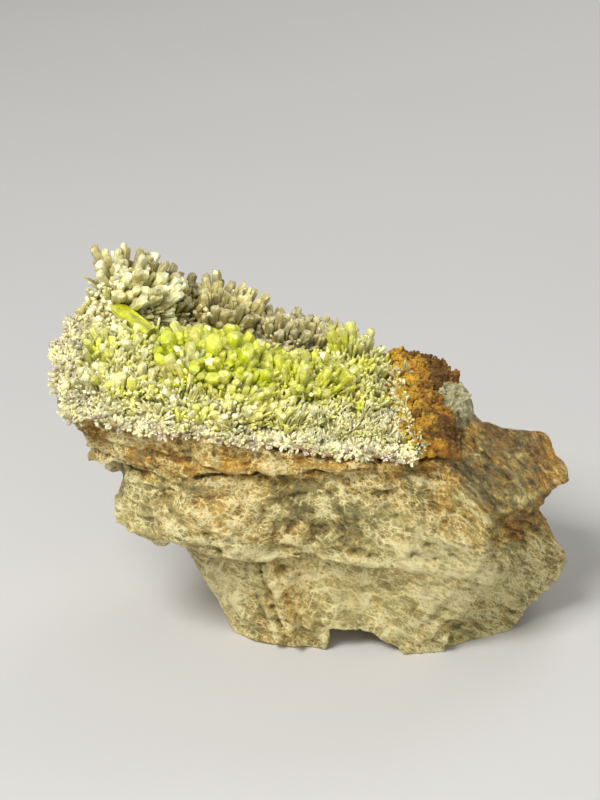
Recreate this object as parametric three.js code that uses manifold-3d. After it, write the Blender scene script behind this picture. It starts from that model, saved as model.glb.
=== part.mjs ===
// Pyromorphite on matrix: a foliated rock with a crystal crust, a limonite cap and a quartz knob on its
// sloping top. Millimetres, +Z up, the broken front face towards -Y. "Depth" is the distance behind the
// foremost point.
import * as THREE from "three";
import { mergeVertices } from "three/addons/utils/BufferGeometryUtils.js";
import Module from "manifold-3d";

const wasm = await Module();
wasm.setup();

// Driving dimensions
const DEPTH = 46;
const CENTRE_X = 0.5;
const CENTRE_DEPTH = 22.6;
const FIT_GAP = 0.3;
const FAR = 90;

// The two waves of the ripple that keeps surfaces from being plain
const BROAD_WAVE = { share: 0.6, alongX: 0.33, xTurn: 0.9, start: 0, alongY: 0.29, yTurn: -0.6 };
const FINE_WAVE = { share: 0.4, alongX: 0.83, xTurn: -1.7, start: 2, alongY: 0.71, yTurn: 1.1 };

// Rock: plan sections at rising heights along the foliation. "front" is the front face's depth at each
// station.
const STATIONS = [-40, -30, -20, -10, 0, 10, 20, 30, 40];
const SECTIONS = [
  { height: -5, left: -12.6, right: 30, back: 32, front: [9, 8, 6, 4, 3.6, 3, 2, 8, 12] },
  { height: 0, left: -13.2, right: 31, back: 35, front: [9, 8, 6, 4, 3.6, 3, 1, 7, 12] },
  { height: 7, left: -16.8, right: 37.5, back: 40, front: [9, 8, 6, 4.3, 3.8, 3, 0.4, 4.4, 11] },
  { height: 13, left: -20.3, right: 42, back: 43, front: [9, 8, 6, 4.3, 3.4, 2.4, 0, 2.6, 10.4] },
  { height: 18.8, left: -22.6, right: 44, back: 44.5, front: [9, 8, 6, 4, 3, 1.8, -0.3, 1.6, 9] },
  { height: 19.1, left: -28, right: 44.4, back: 45, front: [6, 3.4, 1.5, 1, 0.8, 0.8, -0.3, 0.5, 8] },
  { height: 22, left: -32.6, right: 44, back: 45, front: [4, 1.2, 0.2, 0, 0, 0, 0, 0.5, 9] },
  { height: 25.5, left: -33.8, right: 43, back: 45.5, front: [4, 1.2, 0.2, 0, 0, 0, 0, 1, 12] },
  { height: 28, left: -33, right: 44, back: 45.5, front: [4, 2, 0.4, 0, 0.4, 1, 1, 2, 13] },
  { height: 30.2, left: -32, right: 44.5, back: 45.5, front: [5, 3, 1.2, 0.8, 1, 1.8, 2.5, 4, 13] },
  { height: 30.5, left: -32, right: 44, back: 45.5, front: [5, 3, 1.2, 0.9, 1.2, 2, 3, 5, 14] },
  { height: 32.4, left: -31, right: 43, back: 45.5, front: [6, 4, 1.8, 1.6, 2, 2.6, 4, 8, 16] },
  { height: 32.7, left: -37.8, right: 40, back: 45.5, front: [7, 4.8, 2.6, 2.2, 2.4, 3, 5, 10, 18] },
  { height: 40, left: -41, right: 27, back: 45, front: [8, 6, 4.8, 4.4, 4.4, 5, 8, 20, 28] },
  { height: 58, left: -42, right: 26, back: 44, front: [8, 6, 5, 4.5, 4.5, 5, 8, 20, 28] },
];
const RING_HEIGHTS = [
  -4, 0.6, 4, 8, 12, 15.6, 18.8, 19.1, 22, 25, 27.8, 30.2, 30.5, 32.4, 32.7, 36, 40, 45, 56,
];
const FRONT_STEPS = 26;
const SIDE_STEPS = 6;
const BACK_STEPS = 16;
const CORNER_SHARE = 0.14;
const CORNER_POWER = 6;
const SIDE_BULGE = 1.2;
const BROAD_PUSH = 1;
const BROAD_PITCH = 0.62;
const FACET_JITTER = 0.75;
const FACET_SEED = 5;
const CALM_HEIGHT = 17;
const CALM_SHARE = 0.6;
const DIP_START_X = 8;
const DIP_SLOPE = 0.22;
const DIP_FADE = { from: 22, to: 30, share: 0.65 };
const BACK_CURVE = 0.003;

// Flat breaks: each takes off what lies beyond a plane through a point, over a square of the given side
const BREAKS = {
  backLeft: { at: [-29, 41.5, 24], normal: [-0.62, 0.78, -0.05], side: 60 },
  backRight: { at: [27, 41, 16], normal: [0.5, 0.85, -0.15], side: 60 },
  backFoot: { at: [4, 41, 9], normal: [0.05, 0.78, -0.62], side: 80 },
  leftFoot: { at: [-22, 24, 12], normal: [-0.78, 0.12, -0.6], side: 40 },
  leftEnd: { at: [-38, 32, 40], normal: [-0.92, 0.38, -0.05], side: 44 },
  rightFoot: { at: [40, 22, 6], normal: [0.62, 0.1, -0.78], side: 60 },
  lobeShoulder: { at: [45, 24, 25.6], normal: [0.62, 0, 0.78], side: 30 },
  lobeEnd: { at: [43.2, 26, 24], normal: [0.96, 0.22, 0.1], side: 22 },
  lobeBack: { at: [41, 34, 24], normal: [0.6, 0.8, 0.05], side: 30 },
  lobeFront: { at: [41, 12.5, 22], normal: [0.7, -0.7, 0.12], side: 22 },
  slabCorner: { at: [-17.5, 7, 9], normal: [-0.72, -0.6, -0.34], side: 20 },
  noseCorner: { at: [-33, 4.4, 24], normal: [-0.75, -0.62, -0.2], side: 16 },
  prongFront: { at: [17, 0.8, 3], normal: [0.12, -0.93, -0.3], side: 12 },
};
const BREAK_THICKNESS = 40;

// The step down to the low lobe: what lies beyond both of these planes is gone
const LOBE_TOP = { at: [52, 20, 24.6], normal: [0.126, -0.12, 1], side: 100 };
const LOBE_SLOPE = { at: [31.5, 20, 28.4], normal: [0.6, -0.16, 0.8], side: 100 };

// Behind the lobe the top falls away, to the right of the limonite: again what lies beyond both planes
const REAR_SLOPE = { at: [28.7, 32, 28.8], normal: [0.12, 0.55, 0.83], side: 100 };
const REAR_SIDE = { at: [28, 36, 30], normal: [0.93, 0.2, 0.3], side: 100 };

// Steep recess beyond the broken lip at the right: an outline in X and height, cut back to a slanting floor
const RECESS_OUTLINE = [
  [34.5, 17.5], [33, 14.2], [29.2, 12.6], [27.4, 9.2], [24.4, 5.4], [22.6, 0], [22, -6], [60, -6], [60, 17.5],
];
const RECESS_DEPTHS = [-6, 30];
const RECESS_FLOOR = { at: [31, 7, 9], normal: [0.42, -0.88, -0.1], side: 60 };

// Clefts at both ends, as outlines in X and height that slant down towards the back: one parts the low lobe
// from the tip under it, the other parts the upper ledge from the nose
const CLEFT_SLANT = 25;
const CLEFT_REACH = [-30, 60];
const LOBE_CLEFT = [
  [38.2, 25.3], [40, 22.8], [41.3, 20.2], [43.9, 16.5], [54, 8], [54, 33], [44, 29.6], [41.8, 28.7],
  [39.6, 27],
];
const NECK_CLEFT = [
  [-52, 20], [-33.4, 24.3], [-32.4, 26.4], [-31.1, 29.8], [-31.1, 32.1], [-36.6, 32.3], [-37.6, 36.7],
  [-38.9, 39.6], [-40.6, 41.1], [-52, 41.1],
];

// Pale rim along the lower edge of the middle block, and the rusty ribs between the slab and the middle prong
const RIM_PATH = [
  [-14.6, 1.2, 20], [-10.5, 1, 19], [-1.5, 0.7, 19.5], [7, 0.7, 18.9], [13, 0.8, 18.4], [19, 1.3, 22.6],
];
const RIM_RADIUS = 0.75;
const RIM_STEPS = 18;
const RIM_SIDES = 6;
const RIB_SIDES = 5;
const RIBS = [
  { from: [-9.6, 3.9, 16.6], to: [-5.6, 3.4, 1], radius: 1.15 },
  { from: [-7.2, 3.2, 17.2], to: [-2.6, 2.8, 1.4], radius: 1.35 },
  { from: [-4.6, 3.2, 15.6], to: [-0.2, 3.2, 4.6], radius: 1.1 },
];

// Thin plate that juts out under the crust
const PLATE_THICKNESS = 1.3;
const PLATE_HEIGHT = 34.8;
const PLATE_TILT = 0.03;
const PLATE_OUTLINE = [
  [-19.5, 3.4], [-15, 1.6], [-10.5, 2.2], [-6, 0.6], [-1, 0.9], [4, 0.3], [8.6, 1.4], [10.5, 3.2], [10.5, 12],
  [-19.5, 12],
];

// Notch between the two prongs of the underside
const NOTCH_OUTLINE = [[2.3, -3], [3, 4.9], [4.6, 4.7], [10.2, 2.9], [13.2, 1.5], [16.2, -0.3], [16.2, -3]];
const NOTCH_DEPTHS = [-5, 14];

// Crust: the bed that it lies on falls to the front and to the right
const BED_HEIGHT = 36.8;
const BED_FRONT_DEPTH = 5;
const BED_FALL_X = 0.12;
const BED_RISE = 0.062;
const BED_TWIST = 0.0051;
const BED_CELLS = 18;
const CRUST_THICKNESS = 3;
const CRUST_EDGE_SHARE = 0.78;
const CRUST_LUMP = { rise: 0.6, pitch: 2, turn: 1 };
const CRUST_FRONT = { depth: 3.2, leftSetback: 2, wave: 0.7, pitch: 23 };
const CRUST_BACK = { depth: 44, cornerSetback: 5 };
const CRUST_LEFT = { x: -42.6, cornerSetback: 4, wave: 0.7, pitch: 0.8, slantFrom: 22, slant: 0.22 };
const RIM_RISE = 7;
const CRUST_CELLS_X = 17;
const CRUST_CELLS_Y = 12;
const SWELLS = [
  { x: -16, depth: 20, rise: 3.6, width: 11, length: 8 },
  { x: 2, depth: 19, rise: 2, width: 8, length: 7 },
  { x: 8, depth: 32, rise: 2.6, width: 7, length: 8 },
  { x: -23, depth: 31.5, rise: -1.6, width: 7, length: 3 },
  { x: -33, depth: 38, rise: 1.5, width: 7, length: 6 },
];

// Limonite cap on the right end, from the line where the crust ends
const LIMONITE_EDGE = { x: 14.2, wave: 0.5, pitch: 0.45, spur: 3, spurDepth: 4, spurLength: 7 };
const LIMONITE_DEPTHS = [6.5, 39];
const LIMONITE_WIDTHS = [7.5, 12];
const LIMONITE_THICKNESS = { edge: 1.4, crown: 3.4, backRise: 2.6, least: 0.7 };
const LIMONITE_CROWN = { fromX: 0.22, spanX: 0.68, fromDepth: 0.14, spanDepth: 0.72 };
const LIMONITE_CELLS_X = 8;
const LIMONITE_CELLS_Y = 17;
const LIMONITE_LUMP = { rise: 0.9, pitchX: 3.1, pitchDepth: 2.7, turn: 2 };

// Quartz knob
const QUARTZ_CENTRE = new THREE.Vector3(24.2, 25.6, 34.8);
const QUARTZ_RADII = new THREE.Vector3(3.5, 3.4, 4.1);
const QUARTZ_LUMP = { share: 0.1, pitch: 5, pitchZ: 3 };

// Every bar and prism narrows by this share
const BAR_TAPER = 0.92;
const PRISM_SIDES = 6;

// Crystal families: where they stand, how they fan, and their sizes
const SINK = 1.6;
const FAMILIES = {
  backSpray: { seed: 11, count: 16, at: [-30.2, 37.5], spread: [5.5, 5], length: [5, 7.5], radius: [0.8, 1.1],
    lean: 0.5, jitter: 0.25 },
  backRow: { seed: 23, count: 8, at: [-23.5, 39], spread: [5, 3.5], length: [3.8, 5.5], radius: [0.7, 0.95],
    lean: 0.35, jitter: 0.3 },
  backCluster: { seed: 37, count: 9, at: [-14.5, 38.5], spread: [4.5, 3.5], length: [4.5, 6.5],
    radius: [0.85, 1.2], lean: 0.5, jitter: 0.25 },
  backKnobs: { seed: 41, count: 9, at: [-2.5, 38.4], spread: [8, 4], length: [3.4, 5], radius: [0.65, 0.9],
    lean: 0.4, jitter: 0.35 },
  greenMass: { seed: 53, count: 10, at: [-16.5, 20], spread: [8, 6.5], length: [3.2, 4.6], radius: [0.9, 1.4],
    lean: 0.7, jitter: 0.45 },
  greenMiddle: { seed: 67, count: 6, at: [0, 20], spread: [6, 5.5], length: [2.8, 4], radius: [0.8, 1.2],
    lean: 0.6, jitter: 0.4 },
  paleLeft: { seed: 83, count: 6, at: [-32, 17], spread: [7, 8], length: [2.4, 3.6], radius: [0.7, 1],
    lean: 0.4, jitter: 0.5 },
  paleSpray: { seed: 97, count: 6, at: [-13, 9.5], spread: [13, 3.5], length: [2.4, 3.6], radius: [0.55, 0.8],
    lean: 0.5, jitter: 0.6 },
};

// The largest crystals: where each stands, which way it points, its length and its radius
const LARGE_CRYSTALS = {
  barrel: { at: [-22.8, 19.5], toward: [-0.35, -0.25, 1], length: 4.2, radius: 1.9 },
  yellowBarrel: { at: [-22.4, 14.6], toward: [-0.3, -0.2, 1], length: 4.2, radius: 1.6 },
  paleBarrel: { at: [-20, 15.6], toward: [0.02, -0.1, 1], length: 5.2, radius: 1.3 },
  upperBarrel: { at: [-19.4, 23], toward: [0.15, 0, 1], length: 3.6, radius: 1.7 },
  heart: { at: [-16.5, 18], toward: [0.1, -0.3, 1], length: 4.8, radius: 2.1 },
  heartRight: { at: [-12, 17.5], toward: [0.4, -0.2, 1], length: 4.6, radius: 1.9 },
  heartBack: { at: [-14.5, 23.5], toward: [0.3, 0.2, 1], length: 4.2, radius: 1.6 },
  tip: { at: [-9.4, 11.4], toward: [0.7, -0.35, 0.8], length: 4.4, radius: 1.5 },
  tipLow: { at: [-12.4, 10], toward: [0.2, -0.7, 0.8], length: 3.6, radius: 1.2 },
  stub: { at: [-34.3, 12.5], toward: [0, 0.05, 1], length: 3.4, radius: 1.15 },
  blade: { at: [-29.4, 23], toward: [-0.75, -0.6, 0.3], length: 4.4, radius: 0.95 },
  sheafMiddle: { at: [-1.6, 16], toward: [0.1, -0.15, 1], length: 4.6, radius: 1.3 },
  sheafRight: { at: [1.4, 17], toward: [0.38, -0.1, 1], length: 4.2, radius: 1.1 },
  sheafLeft: { at: [-4.4, 18.5], toward: [-0.35, 0, 1], length: 4.2, radius: 1.2 },
  farSheaf: { at: [6.6, 33.5], toward: [0.05, 0.2, 1], length: 5, radius: 1.5 },
  farRight: { at: [9, 34], toward: [0.4, 0.15, 1], length: 4.4, radius: 1.2 },
  farLeft: { at: [4.6, 32], toward: [-0.3, 0, 1], length: 4.2, radius: 1.2 },
};
const LIME_PRISM = { from: [-27, 24.4], to: [-33.2, 31], raise: 1.3, radius: 1.35 };

/** A repeatable stream of numbers from 0 to 1. */
class Draw {
  constructor(seed) {
    this.state = seed * 7919;
    this.next();
    this.next();
  }
  next() {
    this.state = (Math.imul(this.state, 1664525) + 1013904223) >>> 0;
    return this.state / 4294967296;
  }
  between(low, high) {
    return low + (high - low) * this.next();
  }
}

/** Linear interpolation in a list of values given at rising stations. */
function interpolate(stations, values, at) {
  const last = stations.length - 1;
  if (at <= stations[0]) return values[0];
  if (at >= stations[last]) return values[last];
  let i = 0;
  while (stations[i + 1] < at) i += 1;
  const share = (at - stations[i]) / (stations[i + 1] - stations[i]);
  return THREE.MathUtils.lerp(values[i], values[i + 1], share);
}

/** A slow three-way ripple between about -1 and 1. */
function ripple(x, y, z) {
  const wave = ({ share, alongX, xTurn, start, alongY, yTurn }) =>
    share * Math.sin(alongX * x + xTurn * z + start) * Math.cos(alongY * y + yTurn * z);
  return wave(BROAD_WAVE) + wave(FINE_WAVE);
}

/** The rock's plan section at a height along the foliation. */
function sectionAt(height) {
  const heights = SECTIONS.map((s) => s.height);
  const of = (pick) => interpolate(heights, SECTIONS.map(pick), height);
  return {
    left: of((s) => s.left),
    right: of((s) => s.right),
    back: of((s) => s.back),
    front: STATIONS.map((_, i) => of((s) => s.front[i])),
  };
}

/** How far the foliation dips towards the right end, less so higher up. */
function dip(x, height) {
  const fade = THREE.MathUtils.smoothstep(height, DIP_FADE.from, DIP_FADE.to);
  return DIP_SLOPE * Math.max(0, x - DIP_START_X) * (1 - DIP_FADE.share * fade);
}

/** One closed ring of the rock, counter-clockwise from above, at a height along the foliation. */
function rockRing(height, draw) {
  const section = sectionAt(height);
  const front = (x) => interpolate(STATIONS, section.front, x);
  const back = (x) => section.back - BACK_CURVE * x * x;
  const corner = (u) => CORNER_SHARE * Math.abs(2 * u - 1) ** CORNER_POWER;
  const plan = [];
  const along = (x, share) => plan.push([x, THREE.MathUtils.lerp(front(x), back(x), share)]);
  for (let i = 0; i < FRONT_STEPS; i += 1) {
    const u = i / FRONT_STEPS;
    along(THREE.MathUtils.lerp(section.left, section.right, u), corner(u));
  }
  for (let i = 0; i < SIDE_STEPS; i += 1) {
    const w = i / SIDE_STEPS;
    const share = THREE.MathUtils.lerp(CORNER_SHARE, 1 - CORNER_SHARE, w);
    along(section.right, share);
    plan.at(-1)[0] += SIDE_BULGE * 4 * w * (1 - w);
  }
  for (let i = 0; i < BACK_STEPS; i += 1) {
    const u = 1 - i / BACK_STEPS;
    along(THREE.MathUtils.lerp(section.left, section.right, u), 1 - corner(u));
  }
  for (let i = 0; i < SIDE_STEPS; i += 1) {
    const w = 1 - i / SIDE_STEPS;
    const share = THREE.MathUtils.lerp(CORNER_SHARE, 1 - CORNER_SHARE, w);
    along(section.left, share);
    plan.at(-1)[0] -= SIDE_BULGE * 4 * w * (1 - w);
  }
  const middle = new THREE.Vector2((section.left + section.right) / 2, DEPTH / 2);
  return plan.map(([x, depth]) => {
    const out = new THREE.Vector2(x, depth).sub(middle).normalize();
    const calm = height < CALM_HEIGHT && depth < middle.y ? CALM_SHARE : 1;
    const broad = BROAD_PUSH * ripple(BROAD_PITCH * x, BROAD_PITCH * depth, BROAD_PITCH * height);
    const shift = calm * (broad + FACET_JITTER * draw.between(-1, 1));
    const px = x + out.x * shift;
    return new THREE.Vector3(px, depth + out.y * shift, height - dip(px, height));
  });
}

/** Turns a triangle soup of points into a solid. */
function solidFromPositions(positions) {
  const geometry = new THREE.BufferGeometry();
  geometry.setAttribute("position", new THREE.Float32BufferAttribute(positions, 3));
  return solidOf(geometry);
}

/** Turns a closed geometry into a solid that can be joined and cut. */
function solidOf(geometry) {
  const bare = geometry.index ? geometry.toNonIndexed() : geometry.clone();
  bare.deleteAttribute("normal");
  bare.deleteAttribute("uv");
  const merged = mergeVertices(bare, 1e-4);
  return new wasm.Manifold(
    new wasm.Mesh({
      numProp: 3,
      vertProperties: new Float32Array(merged.attributes.position.array),
      triVerts: new Uint32Array(merged.index.array),
    }),
  );
}

/** Joins a list of solids into one. */
function joined(solids) {
  return solids.reduce((whole, solid) => whole.add(solid));
}

/** A closed skin over rings that each have the same number of points. */
function loft(rings) {
  const positions = [];
  const push = (...points) => points.forEach((p) => positions.push(p.x, p.y, p.z));
  for (let k = 0; k + 1 < rings.length; k += 1) {
    const lower = rings[k];
    const upper = rings[k + 1];
    lower.forEach((a, i) => {
      const j = (i + 1) % lower.length;
      push(a, lower[j], upper[j]);
      push(a, upper[j], upper[i]);
    });
  }
  const cap = (ring, facingUp) => {
    const flat = ring.map((p) => new THREE.Vector2(p.x, p.y));
    THREE.ShapeUtils.triangulateShape(flat, []).forEach(([a, b, c]) => {
      if (facingUp) push(ring[a], ring[b], ring[c]);
      else push(ring[a], ring[c], ring[b]);
    });
  };
  cap(rings[0], false);
  cap(rings.at(-1), true);
  return solidFromPositions(positions);
}

/** A box whose vertices are placed by a function of its three shares, each from 0 to 1. */
function shapedBox(cellsX, cellsY, place) {
  const box = new THREE.BoxGeometry(1, 1, 1, cellsX, cellsY, 1);
  const position = box.attributes.position;
  for (let i = 0; i < position.count; i += 1) {
    const point = place(position.getX(i) + 0.5, position.getY(i) + 0.5, position.getZ(i) + 0.5);
    position.setXYZ(i, ...point);
  }
  return solidOf(box);
}

/** Height of the rock's upper surface, which carries the crust. */
function bedHeight(x, depth) {
  return BED_HEIGHT - BED_FALL_X * x + (BED_RISE - BED_TWIST * x) * (depth - BED_FRONT_DEPTH);
}

/** Height of the crust's upper surface, with its swells. */
function crustTop(x, depth) {
  const swell = SWELLS.reduce((sum, s) => {
    const reach = ((x - s.x) / s.width) ** 2 + ((depth - s.depth) / s.length) ** 2;
    return sum + s.rise * Math.exp(-reach);
  }, 0);
  return bedHeight(x, depth) + CRUST_THICKNESS + swell;
}

/** Where the crust ends and the limonite starts. */
function limoniteEdge(depth) {
  const { x, wave, pitch, spur, spurDepth, spurLength } = LIMONITE_EDGE;
  return x + wave * Math.sin(pitch * depth) + spur * Math.exp(-(((depth - spurDepth) / spurLength) ** 2));
}

/** Everything above the bed, as one solid to cut the rock with. */
function aboveBed() {
  return shapedBox(BED_CELLS, BED_CELLS, (u, w, t) => {
    const x = THREE.MathUtils.lerp(-FAR, FAR, u);
    const depth = THREE.MathUtils.lerp(-FAR, FAR, w);
    return [x, depth, t < 0.5 ? bedHeight(x, depth) : 2 * FAR];
  });
}

/** A block of everything below the surface that the specimen stands on. */
function belowGround() {
  const block = new THREE.BoxGeometry(2 * FAR, 2 * FAR, FAR);
  block.translate(0, 0, -FAR / 2);
  return solidOf(block);
}

/** The block that a flat break takes off. */
function breakBlock({ at, normal, side }) {
  const block = new THREE.BoxGeometry(side, side, BREAK_THICKNESS);
  block.translate(0, 0, BREAK_THICKNESS / 2);
  const outward = new THREE.Vector3(...normal).normalize();
  block.applyQuaternion(new THREE.Quaternion().setFromUnitVectors(new THREE.Vector3(0, 0, 1), outward));
  block.translate(...at);
  return solidOf(block);
}

/** The thin plate that juts out under the crust. */
function ledgePlate() {
  const outline = new THREE.Shape(PLATE_OUTLINE.map(([x, depth]) => new THREE.Vector2(x, depth)));
  const plate = new THREE.ExtrudeGeometry(outline, { depth: PLATE_THICKNESS, bevelEnabled: false });
  plate.rotateY(PLATE_TILT);
  plate.translate(0, 0, PLATE_HEIGHT);
  return solidOf(plate);
}

/** A prism with an outline in X and height, between two depths. */
function upright(points, [front, back]) {
  const outline = new THREE.Shape(points.map(([x, height]) => new THREE.Vector2(x, height)));
  const prism = new THREE.ExtrudeGeometry(outline, { depth: back - front, bevelEnabled: false });
  prism.rotateX(Math.PI / 2);
  prism.translate(0, back, 0);
  return solidOf(prism);
}

/** A cleft through one end, slanting down towards the back. */
function cleft(outline) {
  return upright(outline, CLEFT_REACH).rotate([-CLEFT_SLANT, 0, 0]);
}

/** The recess beyond the broken lip. */
function recess() {
  return upright(RECESS_OUTLINE, RECESS_DEPTHS).intersect(breakBlock(RECESS_FLOOR));
}

/** The rim along the lower edge of the middle block. */
function paleRim() {
  const path = new THREE.CatmullRomCurve3(RIM_PATH.map((p) => new THREE.Vector3(...p)));
  const section = new THREE.Shape();
  section.absarc(0, 0, RIM_RADIUS, 0, 2 * Math.PI);
  const along = { extrudePath: path, steps: RIM_STEPS, curveSegments: RIM_SIDES };
  return solidOf(new THREE.ExtrudeGeometry(section, along));
}

/** One broken rib, a five-sided bar. */
function rib({ from, to, radius }) {
  const start = new THREE.Vector3(...from);
  const along = new THREE.Vector3(...to).sub(start);
  return bar(start, along.clone().normalize(), along.length(), radius, RIB_SIDES, 0);
}

/** The quartz knob's solid, grown by a margin. */
function quartzSolid(margin) {
  const knob = new THREE.IcosahedronGeometry(1, 2);
  const position = knob.attributes.position;
  const p = new THREE.Vector3();
  for (let i = 0; i < position.count; i += 1) {
    p.fromBufferAttribute(position, i);
    const { share, pitch, pitchZ } = QUARTZ_LUMP;
    const lump = 1 + share * ripple(pitch * p.x, pitch * p.y, pitchZ * p.z);
    position.setXYZ(
      i,
      QUARTZ_CENTRE.x + p.x * (QUARTZ_RADII.x * lump + margin),
      QUARTZ_CENTRE.y + p.y * (QUARTZ_RADII.y * lump + margin),
      QUARTZ_CENTRE.z + p.z * (QUARTZ_RADII.z * lump + margin),
    );
  }
  return solidOf(knob);
}

/** The rock: a loft with its breaks, ribs and rim, flat underneath and cut to the crust's bed on top. */
function matrixRock() {
  const draw = new Draw(FACET_SEED);
  const body = loft(RING_HEIGHTS.map((height) => rockRing(height, draw)));
  return Object.values(BREAKS)
    .reduce((rock, flat) => rock.subtract(breakBlock(flat)), body)
    .subtract(recess())
    .subtract(breakBlock(LOBE_TOP).intersect(breakBlock(LOBE_SLOPE)))
    .subtract(breakBlock(REAR_SLOPE).intersect(breakBlock(REAR_SIDE)))
    .subtract(cleft(LOBE_CLEFT))
    .subtract(cleft(NECK_CLEFT))
    .add(joined([ledgePlate(), paleRim(), ...RIBS.map(rib)]))
    .subtract(aboveBed())
    .subtract(upright(NOTCH_OUTLINE, NOTCH_DEPTHS))
    .subtract(belowGround())
    .subtract(quartzSolid(FIT_GAP));
}

/** A straight bar with flat sides from a base point along a direction, a little narrower at its far end. */
function bar(base, direction, length, radius, sides, spin) {
  const prism = new THREE.CylinderGeometry(radius * BAR_TAPER, radius, length, sides, 1);
  prism.rotateY(spin);
  prism.translate(0, length / 2, 0);
  const turn = new THREE.Quaternion().setFromUnitVectors(new THREE.Vector3(0, 1, 0), direction);
  prism.applyQuaternion(turn);
  prism.translate(base.x, base.y, base.z);
  return solidOf(prism);
}

/** One hexagonal crystal. */
function hexPrism(base, direction, length, radius, spin) {
  return bar(base, direction, length, radius, PRISM_SIDES, spin);
}

/** Upward unit normal of the crust's surface. */
function crustNormal(x, depth) {
  const step = 0.5;
  const alongX = (crustTop(x + step, depth) - crustTop(x - step, depth)) / (2 * step);
  const alongY = (crustTop(x, depth + step) - crustTop(x, depth - step)) / (2 * step);
  return new THREE.Vector3(-alongX, -alongY, 1).normalize();
}

/** The prisms of one family, fanned out from its middle. */
function familyCrystals(family) {
  const draw = new Draw(family.seed);
  return Array.from({ length: family.count }, () => {
    const angle = 2 * Math.PI * draw.next();
    const reach = Math.sqrt(draw.next());
    const across = Math.cos(angle) * reach;
    const inward = Math.sin(angle) * reach;
    const x = family.at[0] + family.spread[0] * across;
    const depth = family.at[1] + family.spread[1] * inward;
    const direction = crustNormal(x, depth);
    direction.x += family.lean * across + family.jitter * draw.between(-1, 1);
    direction.y += family.lean * inward + family.jitter * draw.between(-1, 1);
    direction.normalize();
    const length = draw.between(...family.length) + SINK;
    const radius = draw.between(...family.radius);
    const spin = draw.between(0, Math.PI);
    const base = new THREE.Vector3(x, depth, crustTop(x, depth)).addScaledVector(direction, -SINK);
    return hexPrism(base, direction, length, radius, spin);
  });
}

/** One of the largest crystals. */
function largeCrystal({ at, toward, length, radius }) {
  const [x, depth] = at;
  const direction = new THREE.Vector3(...toward).normalize();
  const base = new THREE.Vector3(x, depth, crustTop(x, depth)).addScaledVector(direction, -SINK);
  return hexPrism(base, direction, length + SINK, radius, 0);
}

/** The large prism that lies along the slope at the left. */
function limePrism() {
  const end = ([x, depth]) => new THREE.Vector3(x, depth, crustTop(x, depth) + LIME_PRISM.raise);
  const from = end(LIME_PRISM.from);
  const to = end(LIME_PRISM.to);
  const direction = to.clone().sub(from).normalize();
  return hexPrism(from, direction, from.distanceTo(to), LIME_PRISM.radius, 0);
}

/** The slab of drusy crust that the crystals stand on. */
function crustSlab() {
  return shapedBox(CRUST_CELLS_X, CRUST_CELLS_Y, (u, w, t) => {
    const wave = CRUST_FRONT.wave * Math.sin(CRUST_FRONT.pitch * u) * (1 - w);
    const frontEdge = CRUST_FRONT.depth + CRUST_FRONT.leftSetback * (1 - u) ** 2 + wave;
    const backEdge = CRUST_BACK.depth - CRUST_BACK.cornerSetback * (2 * u - 1) ** 4;
    const depth = THREE.MathUtils.lerp(frontEdge, backEdge, w);
    const leftWave = CRUST_LEFT.wave * Math.sin(CRUST_LEFT.pitch * depth);
    const slant = CRUST_LEFT.slant * Math.max(0, depth - CRUST_LEFT.slantFrom);
    const left = CRUST_LEFT.x + CRUST_LEFT.cornerSetback * (2 * w - 1) ** 4 + leftWave + slant;
    const x = THREE.MathUtils.lerp(left, limoniteEdge(depth) - FIT_GAP / 2, u);
    const rim = Math.min(1, RIM_RISE * Math.min(u, w, 1 - w));
    const bed = bedHeight(x, depth);
    const thickness = THREE.MathUtils.lerp(CRUST_EDGE_SHARE, 1, rim) * (crustTop(x, depth) - bed);
    const { rise, pitch, turn } = CRUST_LUMP;
    const top = bed + thickness + rise * ripple(pitch * x, pitch * depth, turn);
    return [x, depth, t < 0.5 ? bed + FIT_GAP : top];
  });
}

/** The crust with every crystal grown on it. */
function pyromorphiteCrust() {
  const families = Object.values(FAMILIES).flatMap(familyCrystals);
  return joined([crustSlab(), limePrism(), ...Object.values(LARGE_CRYSTALS).map(largeCrystal), ...families]);
}

/** The granular limonite on the right end. */
function limoniteCrust() {
  const body = shapedBox(LIMONITE_CELLS_X, LIMONITE_CELLS_Y, (u, w, t) => {
    const depth = THREE.MathUtils.lerp(...LIMONITE_DEPTHS, w);
    const x = limoniteEdge(depth) + FIT_GAP / 2 + THREE.MathUtils.lerp(...LIMONITE_WIDTHS, w) * u;
    const bottom = bedHeight(x, depth) + FIT_GAP;
    const acrossArch = Math.sin(Math.PI * (LIMONITE_CROWN.fromX + LIMONITE_CROWN.spanX * u));
    const inwardArch = Math.sin(Math.PI * (LIMONITE_CROWN.fromDepth + LIMONITE_CROWN.spanDepth * w));
    const { rise, pitchX, pitchDepth, turn } = LIMONITE_LUMP;
    const lump = rise * ripple(pitchX * x, pitchDepth * depth, turn);
    const { edge, crown, backRise } = LIMONITE_THICKNESS;
    const thick = edge + crown * acrossArch * inwardArch + backRise * w * w + lump;
    return [x, depth, t < 0.5 ? bottom : bottom + Math.max(LIMONITE_THICKNESS.least, thick)];
  });
  return body.subtract(quartzSolid(FIT_GAP));
}

/** Makes a named mesh of a solid. */
function meshOf(name, solid, material) {
  const { vertProperties, triVerts, numProp } = solid.getMesh();
  const geometry = new THREE.BufferGeometry();
  const positions = Array.from({ length: vertProperties.length / numProp }, (_, i) =>
    Array.from(vertProperties.subarray(i * numProp, i * numProp + 3)),
  ).flat();
  geometry.setAttribute("position", new THREE.Float32BufferAttribute(positions, 3));
  geometry.setIndex(Array.from(triVerts));
  geometry.computeVertexNormals();
  const mesh = new THREE.Mesh(geometry, material);
  mesh.name = name;
  return mesh;
}

function rockMaterial() {
  return new THREE.MeshStandardMaterial({ color: 0x8b8664, roughness: 0.75, metalness: 0 });
}

function crustMaterial() {
  return new THREE.MeshStandardMaterial({ color: 0xa9b84c, roughness: 0.3, metalness: 0 });
}

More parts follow.
